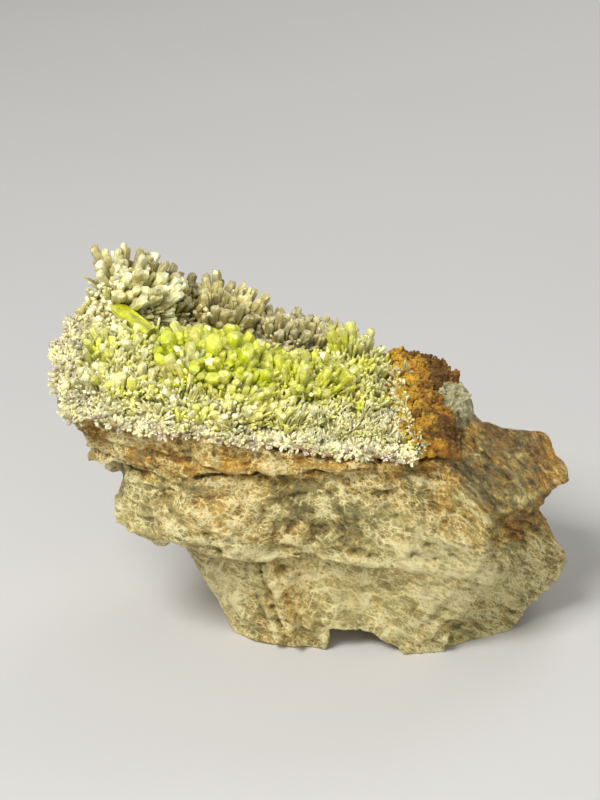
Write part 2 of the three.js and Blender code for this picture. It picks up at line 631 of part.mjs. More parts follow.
function limoniteMaterial() {
  return new THREE.MeshStandardMaterial({ color: 0xa9691c, roughness: 0.85, metalness: 0 });
}

function quartzMaterial() {
  return new THREE.MeshStandardMaterial({ color: 0xb9c0ae, roughness: 0.2, metalness: 0 });
}

const specimen = new THREE.Group();
specimen.add(
  meshOf("matrix_rock", matrixRock(), rockMaterial()),
  meshOf("pyromorphite_crust", pyromorphiteCrust(), crustMaterial()),
  meshOf("limonite_crust", limoniteCrust(), limoniteMaterial()),
  meshOf("quartz_knob", quartzSolid(0), quartzMaterial()),
);
specimen.position.set(-CENTRE_X, -CENTRE_DEPTH, 0);

const part = new THREE.Group();
part.add(specimen);
export default part;
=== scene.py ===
"""Looks of the pyromorphite specimen, in a plain studio.

The rock, the limonite and the quartz are refined from their solids' own forms. The crust's ground and its
large crystals follow the solid's own formulas. Shapes are worked out in millimetres, as X, depth behind the
foremost point and height, and turned into metres in the shared frame when a mesh is made.
"""

import logging
import math
from collections.abc import Callable, Iterator
from dataclasses import dataclass, field, fields
from enum import Enum
from itertools import combinations

import bpy
import numpy as np
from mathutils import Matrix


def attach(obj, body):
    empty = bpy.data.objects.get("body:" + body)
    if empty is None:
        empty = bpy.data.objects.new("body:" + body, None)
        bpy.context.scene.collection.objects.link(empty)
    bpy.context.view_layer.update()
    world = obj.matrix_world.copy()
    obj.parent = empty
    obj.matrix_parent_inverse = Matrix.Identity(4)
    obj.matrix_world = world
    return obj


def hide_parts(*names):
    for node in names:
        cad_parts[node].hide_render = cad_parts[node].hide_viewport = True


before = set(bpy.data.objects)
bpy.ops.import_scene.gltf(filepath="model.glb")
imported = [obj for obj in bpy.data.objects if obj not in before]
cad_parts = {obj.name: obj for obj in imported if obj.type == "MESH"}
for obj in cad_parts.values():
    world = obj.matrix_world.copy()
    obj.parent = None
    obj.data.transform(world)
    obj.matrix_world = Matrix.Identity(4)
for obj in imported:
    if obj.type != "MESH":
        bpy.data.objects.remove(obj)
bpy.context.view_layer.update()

import openvdb as vdb
from mathutils import Vector
from mathutils.bvhtree import BVHTree

LOG = logging.getLogger("specimen")
MM = 0.001
ORIGIN = np.array([0.5, 22.6, 0.0])
CRUST_NODE = "pyromorphite_crust"

Pair = tuple[float, float]
Triple = tuple[float, float, float]
Array = np.ndarray
Field = Callable[[Array], Array]
Piece = bpy.types.Object
Material = bpy.types.Material
Socket = bpy.types.NodeSocket
Value = Socket | float | Triple
Inputs = dict[str | int, Value]


class Slot(Enum):
    """The record's material slots."""

    ROCK = "rock"
    PYROMORPHITE = "pyromorphite"
    LIMONITE = "limonite"
    QUARTZ = "quartz"


# -------------------- numbers and noise


def to_frame(points: Array) -> Array:
    """Turn specimen millimetres (X, depth, height) into metres in the shared frame."""
    return (points - ORIGIN) * MM


def to_specimen(points: Array) -> Array:
    """Turn metres in the shared frame into specimen millimetres (X, depth, height)."""
    return points / MM + ORIGIN


def smoothstep(low: float, high: float, value: Array) -> Array:
    """Rise smoothly from 0 at low to 1 at high."""
    share = np.clip((value - low) / (high - low), 0.0, 1.0)
    return share * share * (3.0 - 2.0 * share)


def unit(vectors: Array) -> Array:
    """Scale each row to length 1."""
    return vectors / np.maximum(np.linalg.norm(vectors, axis=-1, keepdims=True), 1e-9)


def corner_weights(share: Array) -> Iterator[tuple[Array, Array]]:
    """Go over the corners of a unit cell, each with its weight at positions in the cell.

    Args:
        share: positions from 0 to 1 along each axis, one row each.

    Returns:
        For each corner, its step along the axes, and one weight for each row.
    """
    for corner in np.ndindex(2, 2, 2):
        step = np.array(corner)
        yield step, np.prod(np.where(step == 1, share, 1.0 - share), axis=1)


def sideways(draw: np.random.Generator, along: Array) -> Array:
    """Draw a unit vector at right angles to each direction."""
    helper = unit(draw.normal(size=along.shape))
    return unit(helper - along * np.einsum("ij,ij->i", helper, along)[:, None])


@dataclass(frozen=True)
class Patch:
    """A soft-edged patch along X and along height or depth, in millimetres."""

    x: float
    along: float
    width: float
    length: float
    strength: float = 1.0

    def share(self, x: Array, along: Array) -> Array:
        """Give the patch's strength at positions."""
        away = ((x - self.x) / self.width) ** 2 + ((along - self.along) / self.length) ** 2
        return self.strength * np.exp(-away)


class Noise:
    """Smooth and cellular noise over points in space, from one seeded lattice."""

    SIZE = 64
    OCTAVE = 2.03

    def __init__(self, seed: int) -> None:
        """Fill the lattice.

        Args:
            seed: number that fixes the lattice.
        """
        draw = np.random.default_rng(seed)
        lattice = (self.SIZE, self.SIZE, self.SIZE)
        self.values = draw.uniform(-1.0, 1.0, lattice).astype(np.float32)
        self.jitter = draw.uniform(0.1, 0.9, (*lattice, 3)).astype(np.float32)
        self.tilts = unit(draw.normal(size=(*lattice, 3))).astype(np.float32)

    def smooth(self, points: Array) -> Array:
        """Give value noise from -1 to 1 with features about one unit across.

        Args:
            points: positions, one row each.

        Returns:
            One value for each row.
        """
        cell = np.floor(points).astype(np.int64)
        share = (points - cell).astype(np.float32)
        share = share * share * (3.0 - 2.0 * share)
        total = np.zeros(len(points), dtype=np.float32)
        for step, weight in corner_weights(share):
            total += weight * self.values[tuple(((cell + step) % self.SIZE).T)]
        return total

    def fractal(self, points: Array, octaves: int) -> Array:
        """Sum octaves of smooth noise, each finer and weaker than the last.

        Args:
            points: positions, one row each.
            octaves: how many to sum.

        Returns:
            One value for each row, mostly between -1 and 1.
        """
        total = np.zeros(len(points), dtype=np.float32)
        for octave in range(octaves):
            total += 0.5**octave * self.smooth(points * self.OCTAVE**octave + 11.7 * octave)
        return total / (2.0 - 0.5 ** (octaves - 1))

    def push(self, points: Array, pitch: float) -> Array:
        """Give offsets from -1 to 1 along each axis, with a pitch in features per unit."""
        shifts = (0.0, 19.3, 41.9)
        return np.stack([self.fractal(points * pitch + shift, 2) for shift in shifts], axis=1)

    def cells(self, points: Array) -> tuple[Array, Array]:
        """Find the nearest of one jittered seed in each unit cell.

        Args:
            points: positions, one row each.

        Returns:
            The distance to the nearest seed, and the height of that seed's own tilted facet.
        """
        cell = np.floor(points).astype(np.int64)
        nearest = np.full(len(points), 9.0, dtype=np.float32)
        facet = np.zeros(len(points), dtype=np.float32)
        for step in np.ndindex(3, 3, 3):
            index = cell + np.array(step) - 1
            key = tuple((index % self.SIZE).T)
            seed = index + self.jitter[key]
            offset = (points - seed).astype(np.float32)
            distance = np.linalg.norm(offset, axis=1)
            closer = distance < nearest
            facet = np.where(closer, np.einsum("ij,ij->i", offset, self.tilts[key]), facet)
            nearest = np.where(closer, distance, nearest)
        return nearest, facet


class Draw:
    """The repeatable stream of numbers that also places the solid's crystals."""

    def __init__(self, seed: int) -> None:
        """Start the stream.

        Args:
            seed: number that fixes the stream.
        """
        self.state = (seed * 7919) % 2**32
        self.next()
        self.next()

    def next(self) -> float:
        """Give the next number from 0 to 1."""
        self.state = (self.state * 1664525 + 1013904223) % 2**32
        return self.state / 2**32

    def between(self, low: float, high: float) -> float:
        """Give the next number scaled to a range."""
        return low + (high - low) * self.next()


# -------------------- volumes and meshes


@dataclass
class Volume:
    """A grid of signed distances, in specimen millimetres, negative inside."""

    low: Array
    voxel: float
    values: Array
    reach: float

    WHOLE_BAND = 0.98
    INNER_BAND = 0.7

    @classmethod
    def of_mesh(cls, points: Array, polygons: Array, voxel: float, reach: float) -> "Volume":
        """Measure the distance to a closed mesh.

        Args:
            points: vertices in specimen millimetres.
            polygons: triangles or quads, one row each.
            voxel: side of a grid cell.
            reach: how far from the surface distances are kept.

        Returns:
            The volume, with a margin of the reach on every side.
        """
        form = {"triangles" if polygons.shape[1] == 3 else "quads": polygons.astype(np.uint32)}
        place = vdb.createLinearTransform(voxelSize=voxel)
        grid = vdb.FloatGrid.createLevelSetFromPolygons(
            points.astype(np.float32), transform=place, halfWidth=reach / voxel, **form
        )
        first = np.floor((points.min(axis=0) - reach) / voxel).astype(int) - 1
        last = np.ceil((points.max(axis=0) + reach) / voxel).astype(int) + 1
        values = np.zeros(last - first + 1, dtype=np.float32)
        grid.copyToArray(values, ijk=tuple(int(i) for i in first))
        return cls(low=first * voxel, voxel=voxel, values=values, reach=reach)

    def near(self, within: float) -> tuple[Array, Array]:
        """Give a mask and the positions of the cells within a share of the reach."""
        mask = np.abs(self.values) < self.reach * within
        return mask, np.argwhere(mask) * self.voxel + self.low

    def warp(self, push: Field) -> None:
        """Bend the form by offsets in millimetres, so that its edges wander."""
        mask, positions = self.near(self.WHOLE_BAND)
        self.values[mask] = self.sample(self.values, positions + push(positions)).astype(np.float32)

    def raise_surface(self, height: Field) -> None:
        """Move the surface outwards by a height in millimetres."""
        mask, positions = self.near(self.INNER_BAND)
        self.values[mask] -= height(positions).astype(np.float32)

    def soften(self, cells: int, share: Field) -> None:
        """Round the form off where a share says.

        Args:
            cells: how many cells to each side are averaged.
            share: gives a share for each row of positions.
        """
        soft = self.blurred(cells)
        mask, positions = self.near(self.WHOLE_BAND)
        amount = np.clip(share(positions), 0.0, 1.0).astype(np.float32)
        self.values[mask] += amount * (soft[mask] - self.values[mask])

    def blurred(self, cells: int) -> Array:
        """Average the grid over a cube of cells each way.

        Args:
            cells: how many cells to each side.

        Returns:
            A grid of the same size.
        """
        result = self.values
        width = 2 * cells + 1
        for axis in range(3):
            before = np.repeat(result.take([0], axis), cells + 1, axis)
            after = np.repeat(result.take([-1], axis), cells, axis)
            sums = np.cumsum(np.concatenate([before, result, after], axis), axis=axis, dtype=np.float64)
            count = result.shape[axis]
            upper = sums.take(np.arange(width, width + count), axis)
            lower = sums.take(np.arange(0, count), axis)
            result = ((upper - lower) / width).astype(np.float32)
        return result

    def sample(self, grid: Array, points: Array) -> Array:
        """Read a grid at positions, between its cells.

        Args:
            grid: values on this volume's cells.
            points: positions in specimen millimetres.

        Returns:
            One value for each row.
        """
        place = (points - self.low) / self.voxel
        cell = np.clip(np.floor(place).astype(int), 0, np.array(grid.shape) - 2)
        share = place - cell
        total = np.zeros(len(points))
        for step, weight in corner_weights(share):
            total += weight * grid[tuple((cell + step).T)]
        return total

    def prominence(self, cells: int, points: Array) -> Array:
        """Give how far positions on the surface stand out, below zero in a hollow."""
        return self.sample(self.blurred(cells) - self.values, points)

    def surface(self) -> tuple[Array, Array]:
        """Skin the volume.

        Returns:
            Vertices in specimen millimetres, and quads.
        """
        grid = vdb.FloatGrid(self.reach)
        grid.copyFromArray(self.values)
        points, _, quads = grid.convertToPolygons(0.0, 0.0)
        return points.astype(np.float64) * self.voxel + self.low, quads.astype(np.int64)


def link(name: str, data: bpy.types.ID) -> Piece:
    """Put a new object in the scene.

    Args:
        name: the object's name.
        data: its mesh, lamp or camera.

    Returns:
        The object.
    """
    made = bpy.data.objects.new(name, data)
    bpy.context.scene.collection.objects.link(made)
    return made


def read(rows: bpy.types.bpy_prop_collection, key: str, kind: type = np.float32) -> Array:
    """Read three numbers from each entry of a mesh's list.

    Args:
        rows: the list.
        key: what is read.
        kind: the numbers' type.

    Returns:
        One row for each entry.
    """
    values = np.empty(len(rows) * 3, dtype=kind)
    rows.foreach_get(key, values)
    return values.reshape(-1, 3)


def make_object(name: str, points: Array, polygons: list[Array], smooth: bool) -> Piece:
    """Make a mesh object from specimen millimetres.

    Args:
        name: the object's name.
        points: vertices, one row each.
        polygons: arrays of faces, each array with its own number of corners.
        smooth: whether its faces are shaded smooth.

    Returns:
        The new object, in the scene.
    """
    mesh = bpy.data.meshes.new(name)
    mesh.vertices.add(len(points))
    mesh.vertices.foreach_set("co", to_frame(points).astype(np.float32).ravel())
    loops = np.concatenate([faces.ravel() for faces in polygons])
    sizes = np.concatenate([np.full(len(faces), faces.shape[1]) for faces in polygons])
    mesh.loops.add(len(loops))
    mesh.loops.foreach_set("vertex_index", loops.astype(np.int32))
    mesh.polygons.add(len(sizes))
    mesh.polygons.foreach_set("loop_start", np.concatenate([[0], np.cumsum(sizes)[:-1]]).astype(np.int32))
    mesh.polygons.foreach_set("loop_total", sizes.astype(np.int32))
    mesh.polygons.foreach_set("use_smooth", np.full(len(sizes), smooth))
    mesh.update()
    mesh.validate()
    return link(name, mesh)


def set_values(made: Piece, name: str, values: Array) -> None:
    """Store one number, or one colour, on each vertex.

    Args:
        made: the object.
        name: the attribute's name.
        values: one number a vertex, or rows of red, green and blue.
    """
    if values.ndim == 1:
        layer = made.data.attributes.new(name, "FLOAT", "POINT")
        layer.data.foreach_set("value", values.astype(np.float32))
        return
    layer = made.data.attributes.new(name, "FLOAT_COLOR", "POINT")
    rgba = np.concatenate([values, np.ones((len(values), 1))], axis=1)
    layer.data.foreach_set("color", rgba.astype(np.float32).ravel())


def set_vectors(made: Piece, name: str, values: Array) -> None:
    """Store rows of three numbers on the vertices."""
    layer = made.data.attributes.new(name, "FLOAT_VECTOR", "POINT")
    layer.data.foreach_set("vector", values.astype(np.float32).ravel())


def vertices_of(made: Piece) -> tuple[Array, Array]:
    """Read an object's vertices, as positions in specimen millimetres and normals."""
    return to_specimen(read(made.data.vertices, "co")), read(made.data.vertices, "normal")


def thin_out(made: Piece, limit: int) -> None:
    """Merge triangles where the surface is flattest until a limit is met.

    Args:
        made: the object.
        limit: the most triangles it may have.
    """
    made.data.calc_loop_triangles()
    count = len(made.data.loop_triangles)
    if count <= limit:
        return
    modifier = made.modifiers.new("thin_out", "DECIMATE")
    modifier.ratio = limit / count
    bpy.context.view_layer.update()
    evaluated = made.evaluated_get(bpy.context.evaluated_depsgraph_get())
    mesh = bpy.data.meshes.new_from_object(evaluated)
    made.modifiers.clear()
    mesh.validate()
    made.data = mesh


def settle(made: Piece, material: Material, node: str) -> Piece:
    """Give a piece its finish and its place in the frame.

    Args:
        made: the piece.
        material: its finish.
        node: the node that the piece stands for.

    Returns:
        The same piece.
    """
    made.data.materials.append(material)
    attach(made, "root")
    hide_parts(node)
    return made


def node_mesh(node: str) -> tuple[Array, Array]:
    """Copy a CAD node's triangles.

    Args:
        node: the node's name.

    Returns:
        Vertices in specimen millimetres, with doubles merged, and triangles.
    """
    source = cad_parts[node]
    mesh = source.data
    mesh.calc_loop_triangles()
    matrix = np.array(source.matrix_world)
    world = read(mesh.vertices, "co") @ matrix[:3, :3].T + matrix[:3, 3]
    merged, inverse = np.unique(np.round(to_specimen(world), 4), axis=0, return_inverse=True)
    return merged, inverse.reshape(-1)[read(mesh.loop_triangles, "vertices", np.int32)]


def refine(node: str, name: str, voxel: float, reach: float, relief: Field) -> tuple[Piece, Volume]:
    """Make a piece from a node's own form, with relief on its surface.

    Args:
        node: the node's name.
        name: the piece's name.
        voxel: side of a grid cell in millimetres.
        reach: how far from the surface distances are kept.
        relief: gives millimetres outwards for rows of positions.

    Returns:
        The piece, and the volume that it was skinned from.
    """
    volume = Volume.of_mesh(*node_mesh(node), voxel, reach)
    volume.raise_surface(relief)
    skin, quads = volume.surface()
    return make_object(name, skin, [quads], True), volume


def landing(pieces: list[Piece], x: Array, depth: Array, start: float) -> Array:
    """Find where something that falls straight down first meets any of the pieces.

    Args:
        pieces: the objects to meet.
        x: positions along X in specimen millimetres.
        depth: positions along the depth.
        start: the height that it falls from.

    Returns:
        A height for each position, or minus infinity where nothing is met.
    """
    height = np.full(len(x), -np.inf)
    for piece in pieces:
        points, _ = vertices_of(piece)
        tree = BVHTree.FromPolygons(points.tolist(), [tuple(face.vertices) for face in piece.data.polygons])
        for number, (across, back) in enumerate(zip(x, depth)):
            hit = tree.ray_cast((across, back, start), (0.0, 0.0, -1.0))[0]
            if hit is not None:
                height[number] = max(height[number], hit.z)
    return height


def lumps(name: str, centres: Array, radii: Array, seed: int) -> Piece:
    """Make one mesh of small uneven twenty-sided grains.

    Args:
        name: the object's name.
        centres: positions in specimen millimetres, one row each.
        radii: their sizes.
        seed: number that fixes their shapes.

    Returns:
        The object.
    """
    draw = np.random.default_rng(seed)
    wide = (1 + math.sqrt(5)) / 2
    plane = [(a * 1.0, b * wide) for a in (-1, 1) for b in (-1, 1)]
    corners = [(0.0, a, b) for a, b in plane]
    corners += [(a, b, 0.0) for a, b in plane] + [(b, 0.0, a) for a, b in plane]
    form = unit(np.array(corners))
    near = form @ form.T > 0.4
    faces = [
        (a, b, c) if np.linalg.det(form[[a, b, c]]) > 0 else (a, c, b)
        for a, b, c in combinations(range(len(form)), 3)
        if near[a, b] and near[b, c] and near[a, c]
    ]
    shape = form[None] * draw.uniform(0.75, 1.2, (len(centres), len(form), 1)) * radii[:, None, None]
    points = (centres[:, None] + shape).reshape(-1, 3)
    triangles = (np.array(faces)[None] + len(form) * np.arange(len(centres))[:, None, None]).reshape(-1, 3)
    return make_object(name, points, [triangles], False)


# -------------------- shader helpers


class Shader:
    """A short way to build one node material.

    A mix of colours has its share and its two colours at these inputs, and the blend at this output.
    """

    SHARE, FIRST, SECOND, BLEND = 0, 6, 7, 2

    def __init__(self, name: str) -> None:
        """Start an empty material with its output.

        Args:
            name: the material's name.
        """
        self.material = bpy.data.materials.new(name)
        self.material.use_nodes = True
        self.tree = self.material.node_tree
        self.tree.nodes.clear()
        self.output = self.tree.nodes.new("ShaderNodeOutputMaterial")

    def node(self, kind: str, inputs: Inputs | None = None, **settings: object) -> bpy.types.Node:
        """Add a node.

        Args:
            kind: the node's type.
            inputs: a value or an output socket for each named input.
            settings: the node's own properties.

        Returns:
            The node.
        """
        made = self.tree.nodes.new(kind)
        for key, value in settings.items():
            setattr(made, key, value)
        for key, value in (inputs or {}).items():
            socket = made.inputs[key]
            if isinstance(value, Socket):
                self.tree.links.new(value, socket)
            else:
                socket.default_value = (*value, 1.0) if socket.type == "RGBA" else value
        return made

    def attribute(self, name: str, output: str = "Fac") -> Socket:
        """Read a vertex attribute."""
        return self.node("ShaderNodeAttribute", attribute_name=name).outputs[output]

    def combine(self, operation: str, first: Value, second: Value) -> Socket:
        """Combine two vectors."""
        return self.node("ShaderNodeVectorMath", {0: first, 1: second}, operation=operation).outputs[0]

    def scaled(self, vector: Socket, scale: Triple) -> Socket:
        """Scale a vector along each axis."""
        return self.combine("MULTIPLY", vector, scale)

    def place(self, scale: float | Triple, turn: Triple = (0, 0, 0)) -> Socket:
        """Give the object position in millimetres, turned and then scaled.

        Args:
            scale: one multiplier, or one along each axis.
            turn: rotation in radians.

        Returns:
            The vector's socket.
        """
        factors = scale if isinstance(scale, tuple) else (scale, scale, scale)
        where = self.node("ShaderNodeTexCoord").outputs["Object"]
        turned = self.node("ShaderNodeMapping", {"Vector": where, "Rotation": turn}, vector_type="POINT")
        return self.scaled(turned.outputs["Vector"], tuple(value / MM for value in factors))

    def along(self, name: str, scale: Triple) -> Socket:
        """Read a position from a vertex attribute and scale it along each axis."""
        return self.scaled(self.attribute(name, "Vector"), scale)

    def bent(self, name: str, scale: Triple, bend: float) -> Socket:
        """Scale a vertex attribute's position and bend it, so that straight borders wander.

        Args:
            name: the attribute's name.
            scale: features per unit along each axis.
            bend: how far it is bent, in features.

        Returns:
            The vector's socket.
        """
        finer = self.along(name, tuple(2.2 * value for value in scale))
        inputs = {"Vector": finer, "Scale": 1.0, "Detail": 5.0, "Roughness": 0.65}
        wave = self.node("ShaderNodeTexNoise", inputs).outputs["Color"]
        return self.combine("ADD", self.along(name, scale), self.scaled(wave, (bend, bend, bend)))

    def noise(self, vector: Socket, detail: float = 4.0, rough: float = 0.55, warp: float = 0.0) -> Socket:
        """Give fractal noise from 0 to 1 over a vector."""
        inputs = {"Vector": vector, "Scale": 1.0, "Detail": detail, "Roughness": rough, "Distortion": warp}
        return self.node("ShaderNodeTexNoise", inputs).outputs["Fac"]

    def cells(self, vector: Socket, feature: str, **inputs: float) -> bpy.types.Node:
        """Divide space into cells of one unit each."""
        return self.node("ShaderNodeTexVoronoi", {"Vector": vector, "Scale": 1.0, **inputs}, feature=feature)

    def ramp(self, value: Value, *stops: tuple[float, float | Triple]) -> Socket:
        """Map a value through stops of greys or colours.

        Args:
            value: the input socket.
            stops: positions from 0 to 1, each with a grey or a colour.

        Returns:
            The colour's socket.
        """
        made = self.node("ShaderNodeValToRGB", {"Fac": value})
        elements = made.color_ramp.elements
        while len(elements) < len(stops):
            elements.new(0.5)
        for element, (position, shade) in zip(elements, stops):
            element.position = position
            element.color = (*shade, 1.0) if isinstance(shade, tuple) else (shade, shade, shade, 1.0)
        return made.outputs["Color"]

    def math(self, operation: str, first: Value, second: Value = 0.0, clamp: bool = False) -> Socket:
        """Combine two values."""
        made = self.node("ShaderNodeMath", {0: first, 1: second}, operation=operation, use_clamp=clamp)
        return made.outputs[0]

    def times(self, first: Value, second: Value) -> Socket:
        """Multiply two values."""
        return self.math("MULTIPLY", first, second)

    def less(self, value: Value, share: float = 1.0) -> Socket:
        """Give 1 less a share of a value."""
        return self.math("SUBTRACT", 1.0, self.times(value, share))

    def swing(self, value: Value, gain: float) -> Socket:
        """Centre a value from 0 to 1 on zero and scale it."""
        return self.times(self.math("SUBTRACT", value, 0.5), gain)

    def total(self, *terms: Value, clamp: bool = False) -> Socket:
        """Sum values.

        Args:
            terms: two values or more.
            clamp: whether the sum is held between 0 and 1.

        Returns:
            The sum's socket.
        """
        whole = terms[0]
        for term in terms[1:-1]:
            whole = self.math("ADD", whole, term)
        return self.math("ADD", whole, terms[-1], clamp)

    def mix(self, share: Value, first: Value, second: Value, blend: str = "MIX") -> Socket:
        """Blend a share of a second colour into a first one."""
        inputs = {self.SHARE: share, self.FIRST: first, self.SECOND: second}
        return self.node("ShaderNodeMix", inputs, data_type="RGBA", blend_type=blend).outputs[self.BLEND]

    def bump(self, height: Socket, distance: float, strength: float, normal: Socket | None = None) -> Socket:
        """Turn a height from 0 to 1 into a normal.

        Args:
            height: the height's socket.
            distance: the height in metres that 1 stands for.
            strength: share of the effect.
            normal: a normal to build on.

        Returns:
            The normal's socket.
        """
        inputs: Inputs = {"Height": height, "Distance": distance, "Strength": strength}
        if normal is not None:
            inputs["Normal"] = normal
        return self.node("ShaderNodeBump", inputs).outputs["Normal"]

    def finish(self, looks: Inputs) -> Material:
        """Connect a surface and give the material.

        Args:
            looks: a value or an output socket for each named input of the surface.

        Returns:
            The material.
        """
        surface = self.node("ShaderNodeBsdfPrincipled", looks)
        self.tree.links.new(surface.outputs["BSDF"], self.output.inputs["Surface"])
        return self.material


# -------------------- the crust's form


@dataclass(frozen=True)
class CrustForm:
    """The crust's bed, upper surface and plan outline, as on the solid apart from the hang, in millimetres.

    A wave is its height and pitch, a bulge its height, middle and width, and a slant its slope and start.
    """

    bed_height: float = 36.8
    bed_front_depth: float = 5.0
    bed_fall_x: float = 0.12
    bed_rise: float = 0.062
    bed_twist: float = 0.0051
    thickness: float = 3.0
    gap: float = 0.3
    hang: float = 1.5
    hang_depth: Pair = (15.0, 26.0)
    edge_x: float = 14.2
    edge_wave: Pair = (0.5, 0.45)
    edge_bulge: Triple = (3.0, 4.0, 7.0)
    front_depth: float = 3.2
    front_sweep: float = 2.0
    front_wave: Pair = (0.7, 23.0)
    back_depth: float = 44.0
    back_round: float = 5.0
    left_x: float = -42.6
    left_round: float = 4.0
    left_wave: Pair = (0.7, 0.8)
    left_slant: Pair = (0.22, 22.0)
    swells: tuple[Patch, ...] = (
        Patch(-16, 20, 11, 8, 3.6),
        Patch(2, 19, 8, 7, 2),
        Patch(8, 32, 7, 8, 2.6),
        Patch(-23, 31.5, 7, 3, -1.6),
        Patch(-33, 38, 7, 6, 1.5),
    )

    def bed(self, x: Array, depth: Array) -> Array:
        """Give the height of the rock under the crust."""
        rise = self.bed_rise - self.bed_twist * x
        return self.bed_height - self.bed_fall_x * x + rise * (depth - self.bed_front_depth)

    def underside(self, x: Array, depth: Array) -> Array:
        """Give the height of the crust's underside, which hangs lower than the solid's behind."""
        return self.bed(x, depth) + self.gap - self.hang * smoothstep(*self.hang_depth, depth)

    def top(self, x: Array, depth: Array) -> Array:
        """Give the height of the crust's upper surface.

        Args:
            x: positions along X.
            depth: positions along the depth.

        Returns:
            A height for each position.
        """
        height = self.bed(x, depth) + self.thickness
        for swell in self.swells:
            height = height + swell.share(x, depth)
        return height

    def normal(self, x: float, depth: float, step: float = 0.5) -> Array:
        """Give the upward unit normal of the upper surface.

        Args:
            x: position along X.
            depth: position along the depth.
            step: how far to each side the slope is measured.

        Returns:
            The normal.
        """
        along_x = (self.top(x + step, depth) - self.top(x - step, depth)) / (2 * step)
        along_y = (self.top(x, depth + step) - self.top(x, depth - step)) / (2 * step)
        return unit(np.array([-along_x, -along_y, 1.0]))

    def limonite_edge(self, depth: Array) -> Array:
        """Give where the crust ends and the limonite starts.

        Args:
            depth: positions along the depth.

        Returns:
            X for each position.
        """
        wave, pitch = self.edge_wave
        bulge, middle, width = self.edge_bulge
        near = np.exp(-(((depth - middle) / width) ** 2))
        return self.edge_x + wave * np.sin(pitch * depth) + bulge * near

    def plan(self, u: Array, w: Array) -> tuple[Array, Array]:
        """Give plan positions for shares of the crust's width and depth.

        Args:
            u: share from the left edge to the limonite.
            w: share from the front edge to the back.

        Returns:
            X and depth.
        """
        wave, pitch = self.front_wave
        front = self.front_depth + self.front_sweep * (1 - u) ** 2 + wave * np.sin(pitch * u) * (1 - w)
        back = self.back_depth - self.back_round * (2 * u - 1) ** 4
        depth = front + (back - front) * w
        wave, pitch = self.left_wave
        slant, start = self.left_slant
        left = self.left_x + self.left_round * (2 * w - 1) ** 4 + wave * np.sin(pitch * depth)
        left = left + slant * np.maximum(0, depth - start)
        x = left + (self.limonite_edge(depth) - self.gap / 2 - left) * u
        return x, depth


FORM = CrustForm()


# -------------------- the rock


@dataclass(frozen=True)
class Plate:
    """A thin plate that juts from the rock's front, with a crack beneath it. Lengths are in millimetres."""

    left: float = -19.5
    right: float = 9.5
    lower_left: float = 33.3
    lower_right: float = 35.0
    thickness: float = 1.9
    reach: float = 1.0
    crack: float = 0.9
    crack_width: float = 0.55
    ragged: float = 0.45
    front: Pair = (9.0, 12.0)

    def relief(self, p: Array, wave: Array) -> Array:
        """Give how far the plate stands out, and the crack in.

        Args:
            p: positions, one row each.
            wave: offsets that make its edges wander, one value for each row.

        Returns:
            Millimetres outwards for each row.
        """
        share = (p[:, 0] - self.left) / (self.right - self.left)
        above = p[:, 2] - self.lower_left - (self.lower_right - self.lower_left) * share + self.ragged * wave
        span = smoothstep(0.0, 0.06, share + 0.02 * wave) * (1.0 - smoothstep(0.9, 1.0, share + 0.04 * wave))
        thickness = self.thickness * (1.0 - 0.4 * share) * (1.0 + 0.25 * wave)
        jut = smoothstep(0.0, 0.2, above) * (1.0 - smoothstep(0.0, 0.5, above - thickness))
        crack = smoothstep(-self.crack_width - 0.2, -self.crack_width, above)
        crack = crack * (1.0 - smoothstep(-0.15, 0.0, above))
        front = 1.0 - smoothstep(*self.front, p[:, 1])
        return (self.reach * jut * (0.75 + 0.35 * wave) - self.crack * crack) * span * front


